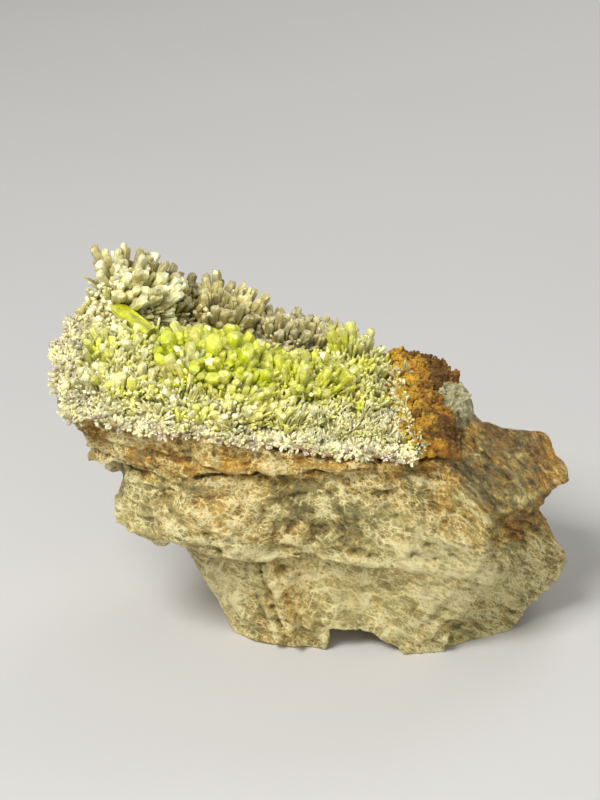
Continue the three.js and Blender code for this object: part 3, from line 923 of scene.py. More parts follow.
@dataclass(frozen=True)
class RockStains:
    """Where the rock is rusty, pale, dark or smooth."""

    rust: tuple[Patch, ...] = (
        Patch(-39, 41, 5, 5, 1.0),
        Patch(-28, 35, 9, 2.5, 0.6),
        Patch(-15, 28, 5, 3.5, 0.9),
        Patch(-10, 31.5, 4, 2, 0.5),
        Patch(-4, 35.5, 16, 1.6, 1.2),
        Patch(8, 34, 6, 2, 0.8),
        Patch(-3.5, 9, 3.4, 9, 0.7),
        Patch(21, 30, 3, 3, 0.7),
        Patch(24, 25.5, 5, 2.2, 0.8),
        Patch(17, 16, 2.4, 2, 0.5),
        Patch(-3, 24, 7, 1.6, 0.5),
        Patch(43, 24, 3.5, 8, 1.4),
        Patch(37, 22, 7, 2.2, 0.9),
        Patch(36, 31, 8, 6, 0.3),
    )
    pale: tuple[Patch, ...] = (
        Patch(23, 16, 9, 7, 0.8),
        Patch(31, 17, 3, 4, 0.7),
        Patch(31, 25.4, 5, 1.6, 1.0),
        Patch(-31, 24, 5, 4, 0.45),
        Patch(-19, 24, 8, 3, 0.3),
        Patch(17, 20.5, 4, 2, 1.0),
        Patch(6, 19.6, 10, 0.8, 1.0),
        Patch(-14, 20.4, 8, 0.7, 0.9),
        Patch(6, 12, 8, 8, 1.0),
        Patch(-16, 11, 6, 10, 1.0),
        Patch(-5, 15, 8, 4, 0.5),
        Patch(13, 4, 6, 4, 0.3),
    )
    dark: tuple[Patch, ...] = (
        Patch(-5.5, 31.5, 2.6, 2.0, 0.9),
        Patch(6, 25, 2.6, 2.4, 0.8),
        Patch(13.4, 34, 2.4, 2.0, 0.8),
        Patch(-1, 26, 2.2, 1.6, 0.6),
        Patch(24, 32, 5, 2.4, 0.45),
        Patch(36, 19, 4, 3, 0.5),
        Patch(-30, 31.6, 5, 1.0, 0.7),
        Patch(-23, 33.5, 3, 1.2, 0.5),
        Patch(0, 16.5, 6, 1.0, 0.5),
        Patch(37, 28, 9, 7, 1.2),
        Patch(30, 26, 5, 6, 0.3),
        Patch(-17, 4, 4, 2.4, 0.3),
        Patch(-38, 38, 6, 3, 0.3),
    )
    smooth: tuple[Patch, ...] = (
        Patch(-15, 9, 5, 9, 1.2),
        Patch(7, 11, 7, 6, 1.1),
        Patch(15, 5, 6, 5, 1.1),
        Patch(22, 16, 5, 5, 0.4),
        Patch(-3.5, 8, 3.5, 8, 0.7),
        Patch(-5.5, 31.5, 3, 2.2, 0.8),
        Patch(6, 25, 3, 2.6, 0.8),
    )
    rear: Pair = (26.0, 36.0)

    def total(self, patches: tuple[Patch, ...], p: Array, wander: Array) -> Array:
        """Sum patches at positions whose outline wanders.

        Args:
            patches: the patches.
            p: positions, one row each.
            wander: offsets in millimetres, one row each.

        Returns:
            Shares from 0 to 1.
        """
        x, height = p[:, 0] + wander[:, 0], p[:, 2] + wander[:, 2]
        front = 1.0 - 0.6 * smoothstep(*self.rear, p[:, 1])
        return np.clip(sum(patch.share(x, height) for patch in patches) * front, 0.0, 1.0)


@dataclass(frozen=True)
class Film:
    """A network of thin mineral films, like the cracks between small blocks of the rock.

    Blocks are counted for each millimetre along each axis, and the width is half of a film's, in blocks.
    """

    blocks: Triple
    width: float
    rarity: float
    strength: float = 1.0

    BEND = 0.8
    OPENINGS = (0.22, 0.22, 0.33)

    def mask(self, s: Shader) -> Socket:
        """Give where the films are.

        Args:
            s: the shader being built.

        Returns:
            The mask's socket, from 0 to the network's strength.
        """
        blocks = s.cells(s.bent("grain", self.blocks, self.BEND), "DISTANCE_TO_EDGE")
        line = s.ramp(blocks.outputs["Distance"], (self.width * 0.6, 1.0), (self.width * 1.9, 0.0))
        openings = s.noise(s.along("grain", self.OPENINGS), 3.0)
        gate = s.ramp(openings, (self.rarity, 0.0), (self.rarity + 0.1, 1.0))
        return s.times(s.times(line, gate), self.strength)


@dataclass(frozen=True)
class RockFinish:
    """The rock's films, and its colours from dark to pale where it is clean and where it is rusty."""

    clean: tuple[tuple[float, Triple], ...] = (
        (0.0, (0.06, 0.05, 0.019)),
        (0.2, (0.2, 0.17, 0.064)),
        (0.4, (0.34, 0.28, 0.1)),
        (0.57, (0.49, 0.4, 0.145)),
        (0.76, (0.69, 0.57, 0.225)),
        (1.0, (0.97, 0.86, 0.43)),
    )
    rusty: tuple[tuple[float, Triple], ...] = (
        (0.0, (0.09, 0.035, 0.004)),
        (0.2, (0.24, 0.1, 0.009)),
        (0.42, (0.44, 0.21, 0.022)),
        (0.62, (0.66, 0.37, 0.05)),
        (0.82, (0.86, 0.6, 0.17)),
        (1.0, (0.98, 0.83, 0.42)),
    )
    grey_green: Triple = (0.93, 1.0, 1.04)
    # Painted shade, with some dirt, that darkens the hollows where the cavity value is low.
    crevice_dirt_and_shade: Triple = (0.05, 0.032, 0.01)
    middle_tone: float = 0.41
    coarse: Film = Film((0.24, 0.24, 0.3), 0.024, 0.38)
    middling: Film = Film((0.55, 0.55, 0.7), 0.036, 0.42)
    small: Film = Film((1.15, 1.15, 1.4), 0.062, 0.47, 0.7)
    patch_pitch: Triple = (0.24, 0.24, 0.4)
    chip_pitch: Triple = (0.6, 0.6, 0.8)
    scratch_turns: tuple[Pair, ...] = ((0.45, 0.0), (-0.9, 3.0), (1.25, 7.0), (-0.3, 11.0))

    def material(self) -> Material:
        """Build the rock's material.

        Returns:
            The material, which reads the rock's vertex attributes.
        """
        s = Shader("foliated_rock")
        smooth, fibre, pale, dark, cavity = map(s.attribute, ("smooth", "fibre", "pale", "dark", "cavity"))
        rough = s.less(smooth, 0.6)
        mottle = s.noise(s.along("grain", (0.7, 0.7, 0.9)), 8.0, 0.74, 0.6)
        streak = s.noise(s.along("grain", (0.18, 0.18, 1.6)), 7.0, 0.68, 0.4)
        fine = s.noise(s.along("grain", (2.2, 2.2, 2.7)), 5.0, 0.75, 0.3)
        large_films = s.math("MAXIMUM", self.coarse.mask(s), self.middling.mask(s))
        films = s.times(s.math("MAXIMUM", large_films, self.small.mask(s)), s.less(dark, 0.7))
        tone = s.total(
            self.middle_tone,
            s.swing(self.patches(s), 0.3),
            s.times(s.swing(mottle, 0.9), rough),
            s.times(s.total(s.swing(streak, 2.4), 0.17), fibre),
            s.swing(fine, 1.3),
            s.times(films, s.times(rough, 0.62)),
            s.times(self.scratches(s), s.times(s.total(0.3, s.times(smooth, 0.7)), 0.5)),
            s.times(pale, 0.3),
            s.times(dark, -0.34),
            # Lighter on crests and darker in hollows: wear with painted highlight on the crests, painted
            # shade in the hollows.
            s.swing(cavity, 0.3),
            clamp=True,
        )
        cool = s.ramp(s.noise(s.along("grain", (0.3, 0.3, 0.45)), 4.0, 0.6, 0.6), (0.46, 0.0), (0.6, 1.0))
        cool = s.math("MAXIMUM", s.times(cool, s.less(pale)), dark)
        base = s.ramp(tone, *self.clean)
        base = s.mix(cool, base, s.mix(1.0, base, self.grey_green, "MULTIPLY"))
        base = s.mix(self.iron(s, rough, large_films), base, s.ramp(tone, *self.rusty))
        # Painted shade, with some dirt, in the deepest hollows.
        base = s.mix(s.ramp(cavity, (0.01, 0.5), (0.13, 0.0)), base, self.crevice_dirt_and_shade)
        gloss = s.ramp(s.noise(s.along("grain", (1.1, 1.1, 2.4)), 5.0, 0.65), (0.35, 0.2), (0.62, 0.55))
        normal = s.bump(fine, 0.0004, 0.8)
        normal = s.bump(s.times(streak, fibre), 0.0014, 0.8, normal)
        normal = s.bump(mottle, 0.001, 0.7, normal)
        normal = s.bump(self.chips(s), 0.0014, 1.0, normal)
        looks = {"Base Color": base, "Roughness": gloss, "Normal": normal, "Specular IOR Level": 0.45}
        return s.finish(looks)

    @staticmethod
    def iron(s: Shader, rough: Socket, films: Socket) -> Socket:
        """Give how rusty the rock is: in clouds, in the stains and along the larger films.

        Args:
            s: the shader being built.
            rough: how rough the face is.
            films: where the larger films are.

        Returns:
            The share's socket.
        """
        clouds = s.noise(s.along("grain", (0.2, 0.2, 0.26)), 8.0, 0.7, 0.8)
        spots = s.noise(s.along("grain", (0.7, 0.7, 0.9)), 8.0, 0.72, 0.4)
        golden = s.noise(s.along("grain", (0.17, 0.17, 0.2)), 4.0, 0.6, 0.5)
        stains = s.times(s.attribute("rust"), s.ramp(spots, (0.36, 0.1), (0.54, 1.1)))
        lines = s.times(s.ramp(golden, (0.42, 0.1), (0.54, 0.85)), films)
        return s.total(s.times(s.ramp(clouds, (0.52, 0.0), (0.68, 0.75)), rough), stains, lines, clamp=True)

    def patches(self, s: Shader) -> Socket:
        """Give one value from 0 to 1 for each irregular patch of the rock."""
        blocks = s.cells(s.bent("grain", self.patch_pitch, 1.3), "SMOOTH_F1", Smoothness=0.15)
        return s.node("ShaderNodeSeparateColor", {"Color": blocks.outputs["Color"]}).outputs[0]

    def chips(self, s: Shader) -> Socket:
        """Give the height of small flat chips, each tilted its own way.

        Args:
            s: the shader being built.

        Returns:
            The height's socket.
        """
        place = s.bent("grain", self.chip_pitch, 0.35)
        chips = s.cells(place, "F1")
        tilt = s.combine("SUBTRACT", chips.outputs["Color"], (0.5, 0.5, 0.5))
        away = s.combine("SUBTRACT", place, chips.outputs["Position"])
        return s.node("ShaderNodeVectorMath", {0: tilt, 1: away}, operation="DOT_PRODUCT").outputs["Value"]

    def scratches(self, s: Shader) -> Socket:
        """Give a mask of thin straight scratches in several directions.

        Args:
            s: the shader being built.

        Returns:
            The mask's socket.
        """
        mask: Value = 0.0
        for turn, shift in self.scratch_turns:
            lines = s.noise(s.place((0.05, 0.2, 0.42), (0.0, turn, 0.0)), 2.0, 0.5, 0.3)
            line = s.ramp(s.math("ABSOLUTE", s.math("SUBTRACT", lines, 0.5)), (0.01, 1.0), (0.026, 0.0))
            where = s.combine("ADD", s.place(0.2), (shift, shift, 0.0))
            gate = s.ramp(s.noise(where, 2.0), (0.48, 0.0), (0.57, 1.0))
            mask = s.math("MAXIMUM", mask, s.times(line, gate))
        return mask


@dataclass
class Rock:
    """The foliated rock, refined from the solid's own form. Lengths are in millimetres."""

    node: str = "matrix_rock"
    voxel: float = 0.33
    reach: float = 2.3
    most_triangles: int = 196000
    wander: float = 0.42
    wander_pitch: float = 0.22
    fine_wander: float = 0.28
    fine_wander_pitch: float = 0.85
    shingles: tuple[Pair, ...] = ((3.1, 0.62), (1.25, 0.26))
    flakes: tuple[Pair, ...] = ((0.08, 0.36), (0.2, 0.14))
    facet_size: float = 6.5
    facet_relief: float = 0.4
    chip_size: float = 2.2
    chip_relief: float = 0.2
    ribs: Patch = Patch(-3.5, 8.0, 3.6, 8.5)
    rib_depth: Pair = (9.0, 14.0)
    rib_pitch: float = 1.7
    rib_relief: float = 0.55
    rib_steep: Pair = (0.88, 0.47)
    lump_relief: float = 0.35
    grain_relief: float = 0.12
    lobe: Pair = (24.0, 34.0)
    dip: float = 0.1
    dip_growth: Pair = (0.011, 3.0)
    left_layers: Pair = (-27.0, -18.0)
    upper_layers: Pair = (32.0, 34.5)
    lobe_layers: Pair = (24.0, 32.0)
    rear_layers: Pair = (10.0, 18.0)
    fibre_reach: Pair = (8.0, 24.0)
    rusty_rim: Pair = (0.5, 3.5)
    plate: Plate = Plate()
    finish: RockFinish = field(default_factory=RockFinish)
    stains: RockStains = field(default_factory=RockStains)
    noise: Noise = field(default_factory=lambda: Noise(5))

    def foliation(self, p: Array) -> Array:
        """Give the height along the foliation, which dips to the right and more steeply there.

        Args:
            p: positions, one row each.

        Returns:
            A height for each row.
        """
        growth, start = self.dip_growth
        bend = self.dip * p[:, 0] + growth * np.maximum(0.0, p[:, 0] - start) ** 2
        wave = 0.8 * self.noise.smooth(p * np.array([0.08, 0.08, 0.12]))
        return p[:, 2] + bend + wave + 0.22 * self.noise.smooth(p * 0.4)

    def push(self, p: Array) -> Array:
        """Give the offsets that make edges wander, none of them at the resting face.

        Args:
            p: positions, one row each.

        Returns:
            Offsets in millimetres, one row each.
        """
        offset = self.wander * self.noise.push(p, self.wander_pitch)
        offset += self.fine_wander * self.noise.push(p + 7.0, self.fine_wander_pitch)
        return offset * smoothstep(0.0, 2.5, p[:, 2])[:, None]

    def layered(self, p: Array) -> Array:
        """Give how clearly the rock splits in layers: at the left, on top, in the lobe and behind.

        Args:
            p: positions, one row each.

        Returns:
            A share from 0 to 1 for each row.
        """
        left = 1.0 - smoothstep(*self.left_layers, p[:, 0])
        upper = smoothstep(*self.upper_layers, p[:, 2])
        lobe = 0.6 * smoothstep(*self.lobe_layers, p[:, 0])
        rear = 0.4 * smoothstep(*self.rear_layers, p[:, 1])
        return np.maximum(np.maximum(left, upper), np.maximum(lobe, rear))

    def rib_share(self, p: Array) -> Array:
        """Give where the steep ribs are, at the front only."""
        return self.ribs.share(p[:, 0], p[:, 2]) * (1.0 - smoothstep(*self.rib_depth, p[:, 1]))

    def relief(self, p: Array) -> Array:
        """Give how far the surface stands out from the solid's faces.

        Args:
            p: positions, one row each.

        Returns:
            Millimetres outwards for each row.
        """
        along = self.foliation(p)
        ragged = along + 0.3 * self.noise.smooth(p * 0.9)
        plates = np.stack([p[:, 0], p[:, 1], 1.7 * along], axis=1)
        _, facet = self.noise.cells(plates / self.facet_size + 3.1)
        _, chip = self.noise.cells(plates / self.chip_size + 9.7)
        height = self.facet_relief * facet + self.chip_relief * chip
        for number, (pitch, relief) in enumerate(self.shingles):
            share = ragged / pitch - np.floor(ragged / pitch)
            swell = self.noise.smooth(p * np.array([0.1, 0.1, 0.3]) + 5.0 * number)
            strength = smoothstep(-0.35, 0.5, swell)
            strength = strength * (0.35 + 1.1 * self.layered(p))
            height += relief * strength * (0.5 - share) * smoothstep(0.0, 0.07, 1.0 - share)
        for number, (pitch, relief) in enumerate(self.flakes):
            level = 3.0 * self.noise.fractal(plates * pitch + 13.0 * number, 3)
            height += relief * (np.floor(level) + smoothstep(0.8, 1.0, level - np.floor(level)))
        height += self.lump_relief * self.noise.fractal(p * 0.13, 3)
        rib = (self.rib_steep[0] * p[:, 0] + self.rib_steep[1] * p[:, 2]) / self.rib_pitch
        rib = rib + 0.35 * self.noise.smooth(p * 0.5) + 0.12 * self.noise.smooth(p * 1.7)
        step = (0.5 - (rib - np.floor(rib))) * smoothstep(0.0, 0.12, np.ceil(rib) - rib)
        calm = 1.0 - 0.7 * self.stains.total(self.stains.smooth, p, np.zeros_like(p))
        height *= calm * (1.0 - 0.35 * smoothstep(*self.lobe, p[:, 0]))
        height += self.rib_relief * step * self.rib_share(p)
        grains = self.noise.fractal(p * np.array([0.9, 0.9, 1.5]), 4)
        height += self.grain_relief * (0.3 + 0.7 * calm) * grains
        height += self.plate.relief(p, self.noise.fractal(p * np.array([0.3, 0.3, 0.05]), 3) * 1.6)
        return height * smoothstep(0.0, 1.2, p[:, 2])

    def make(self) -> Piece:
        """Build and dress the rock.

        Returns:
            The rock's object, which stands for its node.
        """
        volume = Volume.of_mesh(*node_mesh(self.node), self.voxel, self.reach)
        volume.soften(3, self.rib_share)
        volume.warp(self.push)
        volume.raise_surface(self.relief)
        skin, quads = volume.surface()
        skin[:, 2] = np.maximum(skin[:, 2], 0.0)
        made = make_object("foliated_rock", skin, [quads], True)
        thin_out(made, self.most_triangles)
        self.mark(made, volume)
        return settle(made, self.finish.material(), self.node)

    def mark(self, made: Piece, volume: Volume) -> None:
        """Give the rock the attributes that its finish reads.

        Args:
            made: the rock's object.
            volume: the volume that it was skinned from.
        """
        skin, _ = vertices_of(made)
        tight, wide = volume.prominence(2, skin), volume.prominence(5, skin)
        # Low in hollows and high on crests; the finish paints shade with some dirt in the hollows, and wear
        # with highlight on the crests.
        set_values(made, "cavity", np.clip(0.5 + 1.7 * tight + 0.45 * wide, 0.0, 1.0))
        set_vectors(made, "grain", np.stack([skin[:, 0], skin[:, 1], self.foliation(skin)], axis=1))
        wander = 2.2 * self.noise.push(skin, 0.3)
        names = ("rust", "pale", "dark", "smooth")
        stains = {name: self.stains.total(getattr(self.stains, name), skin, wander) for name in names}
        below = smoothstep(*self.rusty_rim, FORM.bed(skin[:, 0], skin[:, 1]) - skin[:, 2] + wander[:, 0])
        stains["rust"] = np.maximum(stains["rust"], 0.8 * (1.0 - below))
        for name, values in stains.items():
            set_values(made, name, values)
        set_values(made, "fibre", 0.14 + 0.6 * smoothstep(*self.fibre_reach, skin[:, 0]))


# -------------------- the crust's ground


@dataclass(frozen=True)
class GroundFinish:
    """Colours of the fine ground that the crystals stand on, with painted shade in its hollows and in one
    gap.
    """

    white: Triple = (0.6, 0.54, 0.31)
    green: Triple = (0.36, 0.34, 0.12)
    lime: Triple = (0.3, 0.37, 0.015)
    grey: Triple = (0.16, 0.13, 0.06)
    pink: Triple = (0.42, 0.31, 0.24)
    rust: Triple = (0.42, 0.19, 0.03)

    def material(self) -> Material:
        """Build the ground's material.

        Returns:
            The material, which reads the ground's vertex attributes.
        """
        s = Shader("drusy_ground")
        patch = s.noise(s.place(0.35), 6.0, 0.65, 0.4)
        speck = s.noise(s.place(1.8), 4.0, 0.7)
        base = s.mix(s.ramp(patch, (0.35, 0.0), (0.65, 1.0)), self.white, self.green)
        base = s.mix(s.attribute("green"), base, self.lime)
        base = s.mix(s.ramp(speck, (0.56, 0.0), (0.72, 0.6)), base, self.grey)
        base = s.mix(s.times(s.attribute("pink"), s.ramp(patch, (0.4, 0.2), (0.6, 1.0))), base, self.pink)
        base = s.mix(s.times(s.attribute("rust"), s.ramp(speck, (0.3, 0.3), (0.6, 1.0))), base, self.rust)
        # Painted shadow in the gap behind the lime prism.
        base = s.mix(s.attribute("shade"), base, self.grey)
        # Grey in the hollows of the ground: painted shade.
        base = s.mix(s.ramp(s.attribute("cavity"), (0.1, 0.7), (0.4, 0.0)), base, self.grey)
        normal = s.bump(s.noise(s.place(2.6), 6.0, 0.75), 0.0003, 0.8)
        return s.finish({"Base Color": base, "Roughness": 0.5, "Normal": normal})


@dataclass
class Ground:
    """The granular ground of the crust, under its crystals. Lengths are in millimetres."""

    voxel: float = 0.4
    reach: float = 2.2
    cells_x: int = 70
    cells_y: int = 50
    sink: float = 1.0
    least: float = 0.9
    slack: float = 0.15
    lump_size: float = 1.5
    lump_relief: float = 0.55
    grain_relief: float = 0.3
    green_patches: tuple[Patch, ...] = (Patch(-16, 19, 9, 8), Patch(1, 19, 7, 6))
    # Where the finish paints the shadow in the gap behind the lime prism.
    shade_patch: Patch = Patch(-22, 32, 6, 2.6)
    rust_patch: Patch = Patch(-42, 13, 2.5, 4)
    front: Pair = (4.0, 9.0)
    right: Pair = (10.0, 15.0)
    finish: GroundFinish = field(default_factory=GroundFinish)
    noise: Noise = field(default_factory=lambda: Noise(17))

    def slab(self) -> tuple[Array, Array]:
        """Build the plain slab between the bed and the sunk upper surface.

        Returns:
            Vertices and quads of a closed box.
        """
        steps = (np.linspace(0, 1, self.cells_x + 1), np.linspace(0, 1, self.cells_y + 1))
        u, w = np.meshgrid(*steps, indexing="ij")
        x, depth = FORM.plan(u, w)
        bed = FORM.bed(x, depth)
        rim = np.minimum(1.0, 7.0 * np.minimum(np.minimum(u, 1 - u + 0.2), np.minimum(w, 1 - w)))
        full = FORM.top(x, depth) - bed
        thickness = np.maximum((0.72 + 0.28 * rim) * full - self.sink, self.least)
        lower = np.stack([x, depth, FORM.underside(x, depth)], axis=-1).reshape(-1, 3)
        upper = np.stack([x, depth, bed + thickness], axis=-1).reshape(-1, 3)
        count = len(lower)
        index = np.arange(count).reshape(u.shape)
        floor = np.stack([index[:-1, :-1], index[1:, :-1], index[1:, 1:], index[:-1, 1:]], axis=-1)
        floor = floor.reshape(-1, 4)
        rim_path = np.concatenate([index[:-1, 0], index[-1, :-1], index[:0:-1, -1], index[0, :0:-1]])
        following = np.roll(rim_path, -1)
        sides = np.stack([rim_path, following, following + count, rim_path + count], axis=-1)
        return np.concatenate([lower, upper]), np.concatenate([floor + count, floor[:, ::-1], sides])

    def relief(self, p: Array) -> Array:
        """Give lumps and grains.

        Args:
            p: positions, one row each.

        Returns:
            Millimetres outwards for each row.
        """
        distance, _ = self.noise.cells(p / self.lump_size)
        fine, _ = self.noise.cells(p / (0.55 * self.lump_size) + 4.0)
        lumps = self.lump_relief * (0.55 - distance) + 0.3 * self.lump_relief * (0.5 - fine)
        height = lumps + self.grain_relief * self.noise.fractal(p * 0.7, 4)
        above = smoothstep(0.2, 0.9, p[:, 2] - FORM.underside(p[:, 0], p[:, 1]))
        return height * above

    def make(self) -> Piece:
        """Build and dress the ground.

        Returns:
            The ground's object.
        """
        volume = Volume.of_mesh(*self.slab(), self.voxel, self.reach)
        volume.raise_surface(self.relief)
        skin, faces = volume.surface()
        skin[:, 2] = np.maximum(skin[:, 2], FORM.underside(skin[:, 0], skin[:, 1]) - self.slack)
        made = make_object("drusy_ground", skin, [faces], True)
        # Cavity is low in the ground's hollows, where its finish paints shade.
        set_values(made, "cavity", np.clip(0.5 + 1.6 * volume.prominence(2, skin), 0.0, 1.0))
        self.mark(made, skin)
        return settle(made, self.finish.material(), CRUST_NODE)

    def mark(self, made: Piece, skin: Array) -> None:
        """Give the ground the stains, and the patch of painted shadow, that its finish reads.

        Args:
            made: the ground's object.
            skin: its vertices in specimen millimetres.
        """
        x, depth = skin[:, 0], skin[:, 1]
        set_values(made, "green", np.clip(sum(patch.share(x, depth) for patch in self.green_patches), 0, 1))
        set_values(made, "shade", self.shade_patch.share(x, depth))
        above_bed = skin[:, 2] - FORM.bed(x, depth)
        front = 1.0 - smoothstep(*self.front, depth)
        set_values(made, "pink", np.clip(front * (1.0 - smoothstep(1.2, 2.6, above_bed)), 0, 1))
        right = smoothstep(*self.right, x + self.noise.smooth(skin * 0.4) * 2)
        rust = 0.8 * right + self.rust_patch.share(x, depth) + 0.8 * front * (above_bed < 1.0)
        set_values(made, "rust", np.clip(rust, 0, 1))


# -------------------- crystals


class Tone(Enum):
    """Colours of a crystal at its root and at its tip, as linear red, green and blue."""

    # Darker roots and paler tips are partly each crystal's own colour, partly painted shade and painted
    # highlight.
    LIME = ((0.32, 0.4, 0.002), (0.76, 0.81, 0.02))
    BRIGHT = ((0.44, 0.5, 0.005), (0.9, 0.89, 0.075))
    YELLOW_GREEN = ((0.4, 0.42, 0.018), (0.9, 0.88, 0.19))
    GOLD = ((0.5, 0.42, 0.035), (0.93, 0.85, 0.25))
    PALE = ((0.38, 0.36, 0.055), (0.93, 0.89, 0.34))
    WHITE_GREEN = ((0.38, 0.33, 0.085), (0.95, 0.9, 0.45))
    CREAM = ((0.5, 0.42, 0.14), (0.97, 0.93, 0.56))
    KHAKI = ((0.2, 0.155, 0.034), (0.64, 0.55, 0.22))
    OLIVE = ((0.06, 0.05, 0.01), (0.28, 0.235, 0.07))
    GREY = ((0.1, 0.082, 0.03), (0.6, 0.54, 0.29))
    PINK = ((0.2, 0.14, 0.08), (0.74, 0.63, 0.42))


class Habit(Enum):
    """Outline of a prism: pairs of share along its length and share of its radius."""

    BARREL = ((0.0, 0.78), (0.35, 0.94), (0.68, 1.0), (0.92, 0.93), (1.0, 0.7))
    PRISM = ((0.0, 0.92), (0.6, 1.0), (0.95, 0.95), (1.0, 0.76))
    STUB = ((0.0, 0.85), (0.9, 1.0), (1.0, 0.66))
    GRAIN = ((0.0, 0.8), (0.72, 1.0), (1.0, 0.6))
    NEEDLE = ((0.0, 0.9), (1.0, 0.8))


def tints(tones: list[Tone], shade: Array) -> tuple[Array, Array]:
    """Give the colours of prisms at their roots and at their tips, with one tone and one shade for each."""
    pairs = np.array([tone.value for tone in tones])
    return pairs[:, 0] * shade, pairs[:, 1] * shade


@dataclass
class Crystals:
    """Arrays that describe prisms: base, direction, length, radius, flatness, spin and two colours."""

    base: Array
    direction: Array
    length: Array
    radius: Array
    flat: Array
    spin: Array
    root: Array
    tip: Array

    SIDES = 6

    @classmethod
    def single(cls, *parts: Array | Triple | float) -> "Crystals":
        """Describe one prism by the same eight things."""
        return cls(*(np.array([part]) for part in parts))

    @classmethod
    def join(cls, parts: list["Crystals"]) -> "Crystals":
        """Put several sets of prisms together."""
        return cls(*(np.concatenate([getattr(part, entry.name) for part in parts]) for entry in fields(cls)))

    def pick(self, mask: Array) -> "Crystals":
        """Keep some of the prisms."""
        return Crystals(*(getattr(self, entry.name)[mask] for entry in fields(self)))

    def companions(self, each: int, spread: float, splay: float, size: Pair, seed: int) -> "Crystals":
        """Grow smaller prisms around each prism, so that it stands in a sheaf.

        Args:
            each: how many around each prism.
            spread: how far their roots lie, in radii.
            splay: how far they lean apart.
            size: least and most share of the prism's own size.
            seed: number that fixes the draw.

        Returns:
            The smaller prisms.
        """
        draw = np.random.default_rng(seed)
        count = len(self.base) * each
        own = np.repeat(np.arange(len(self.base)), each)
        along = unit(self.direction[own])
        outward = sideways(draw, along)
        reach = spread * np.sqrt(draw.random(count))
        share = draw.uniform(*size, count)
        lengths = self.length[own] * np.sqrt(share) * draw.uniform(0.8, 1.05, count)
        stray = min(0.07, 0.02 + 0.3 * splay) * draw.normal(size=(count, 3))
        direction = unit(along + outward * (splay * reach / spread)[:, None] + stray)
        shade = draw.uniform(0.86, 1.1, count)[:, None]
        return Crystals(
            base=self.base[own] + outward * (reach * self.radius[own])[:, None],
            direction=direction,
            length=lengths,
            radius=self.radius[own] * share * draw.uniform(0.6, 1.0, count),
            flat=draw.uniform(0.55, 1.0, count),
            spin=draw.uniform(0, math.pi, count),
            root=self.root[own] * shade,
            tip=np.clip(self.tip[own] * shade, 0.0, 0.95),
        )

    def mesh(self, name: str, habit: Habit, seed: int, bevel: float = 0.0) -> Piece:
        """Make one mesh of all the prisms.

        Args:
            name: the object's name.
            habit: the prisms' outline.
            seed: number that fixes their irregularities.
            bevel: half angle in radians of a narrow face along each edge, or 0 for sharp edges.

        Returns:
            The object, with a tint on each vertex, and a position that is stretched along its prism.
        """
        draw = np.random.default_rng(seed)
        along = unit(self.direction)
        helper = np.where(np.abs(along[:, 2:3]) < 0.9, [[0.0, 0.0, 1.0]], [[1.0, 0.0, 0.0]])
        side = unit(np.cross(along, helper))
        other = np.cross(along, side)
        count, rings = len(self.base), len(habit.value)
        splits = np.array([-bevel, bevel]) if bevel else np.zeros(1)
        corners = (np.arange(self.SIDES)[:, None] * (2 * math.pi / self.SIDES) + splits).reshape(-1)
        angles = self.spin[:, None] + corners
        uneven = np.repeat(draw.uniform(0.84, 1.12, (count, self.SIDES)), len(splits), axis=1)
        narrow = other[:, None] * self.flat[:, None, None]
        ring = np.cos(angles)[..., None] * side[:, None] + np.sin(angles)[..., None] * narrow
        ring = ring * uneven[..., None]
        tilt = draw.uniform(-0.22, 0.22, (count, 2))
        slant = tilt[:, :1] * np.cos(angles) + tilt[:, 1:] * np.sin(angles)
        points = np.empty((count, rings, len(corners), 3))
        tint = np.empty_like(points)
        for i, (share, girth) in enumerate(habit.value):
            middle = self.base + along * (self.length * share)[:, None]
            points[:, i] = middle[:, None] + ring * (self.radius * girth)[:, None, None]
            points[:, i] += along[:, None] * (slant * share**4 * self.radius[:, None])[..., None]
            # Darker at the root and paler at the tip: partly the crystal's own colour, partly painted shade
            # low among the crystals and painted highlight on the tips.
            blend = smoothstep(0.15, 1.0, np.array(share))
            tint[:, i] = (self.root + (self.tip - self.root) * blend)[:, None]
        polygons = self.polygons(count, rings, len(corners))
        made = make_object(name, points.reshape(-1, 3), polygons, False)
        set_values(made, "tint", np.clip(tint.reshape(-1, 3), 0.0, 1.0))
        apart = draw.uniform(-50.0, 50.0, (count, 1, 1, 3))
        across = points - self.base[:, None, None]
        length_share = np.einsum("crsi,ci->crs", across, along)
        strand = across - 0.9 * length_share[..., None] * along[:, None, None] + apart
        set_vectors(made, "strand", strand.reshape(-1, 3))
        return made

    @staticmethod
    def polygons(count: int, rings: int, sides: int) -> list[Array]:
        """Join each prism's rings with walls, and close its ends.

        Args:
            count: how many prisms there are.
            rings: how many rings of vertices each one has.
            sides: how many vertices each ring has.

        Returns:
            The walls, the caps and the roots.
        """
        start = np.arange(count)[:, None, None] * rings * sides
        low = np.arange(rings - 1)[None, :, None] * sides
        corner = np.arange(sides)
        first, second = start + low + corner, start + low + (corner + 1) % sides
        walls = np.stack([first, second, second + sides, first + sides], axis=-1).reshape(-1, 4)
        roots = start[:, 0] + corner
        return [walls, roots + (rings - 1) * sides, roots[:, ::-1]]


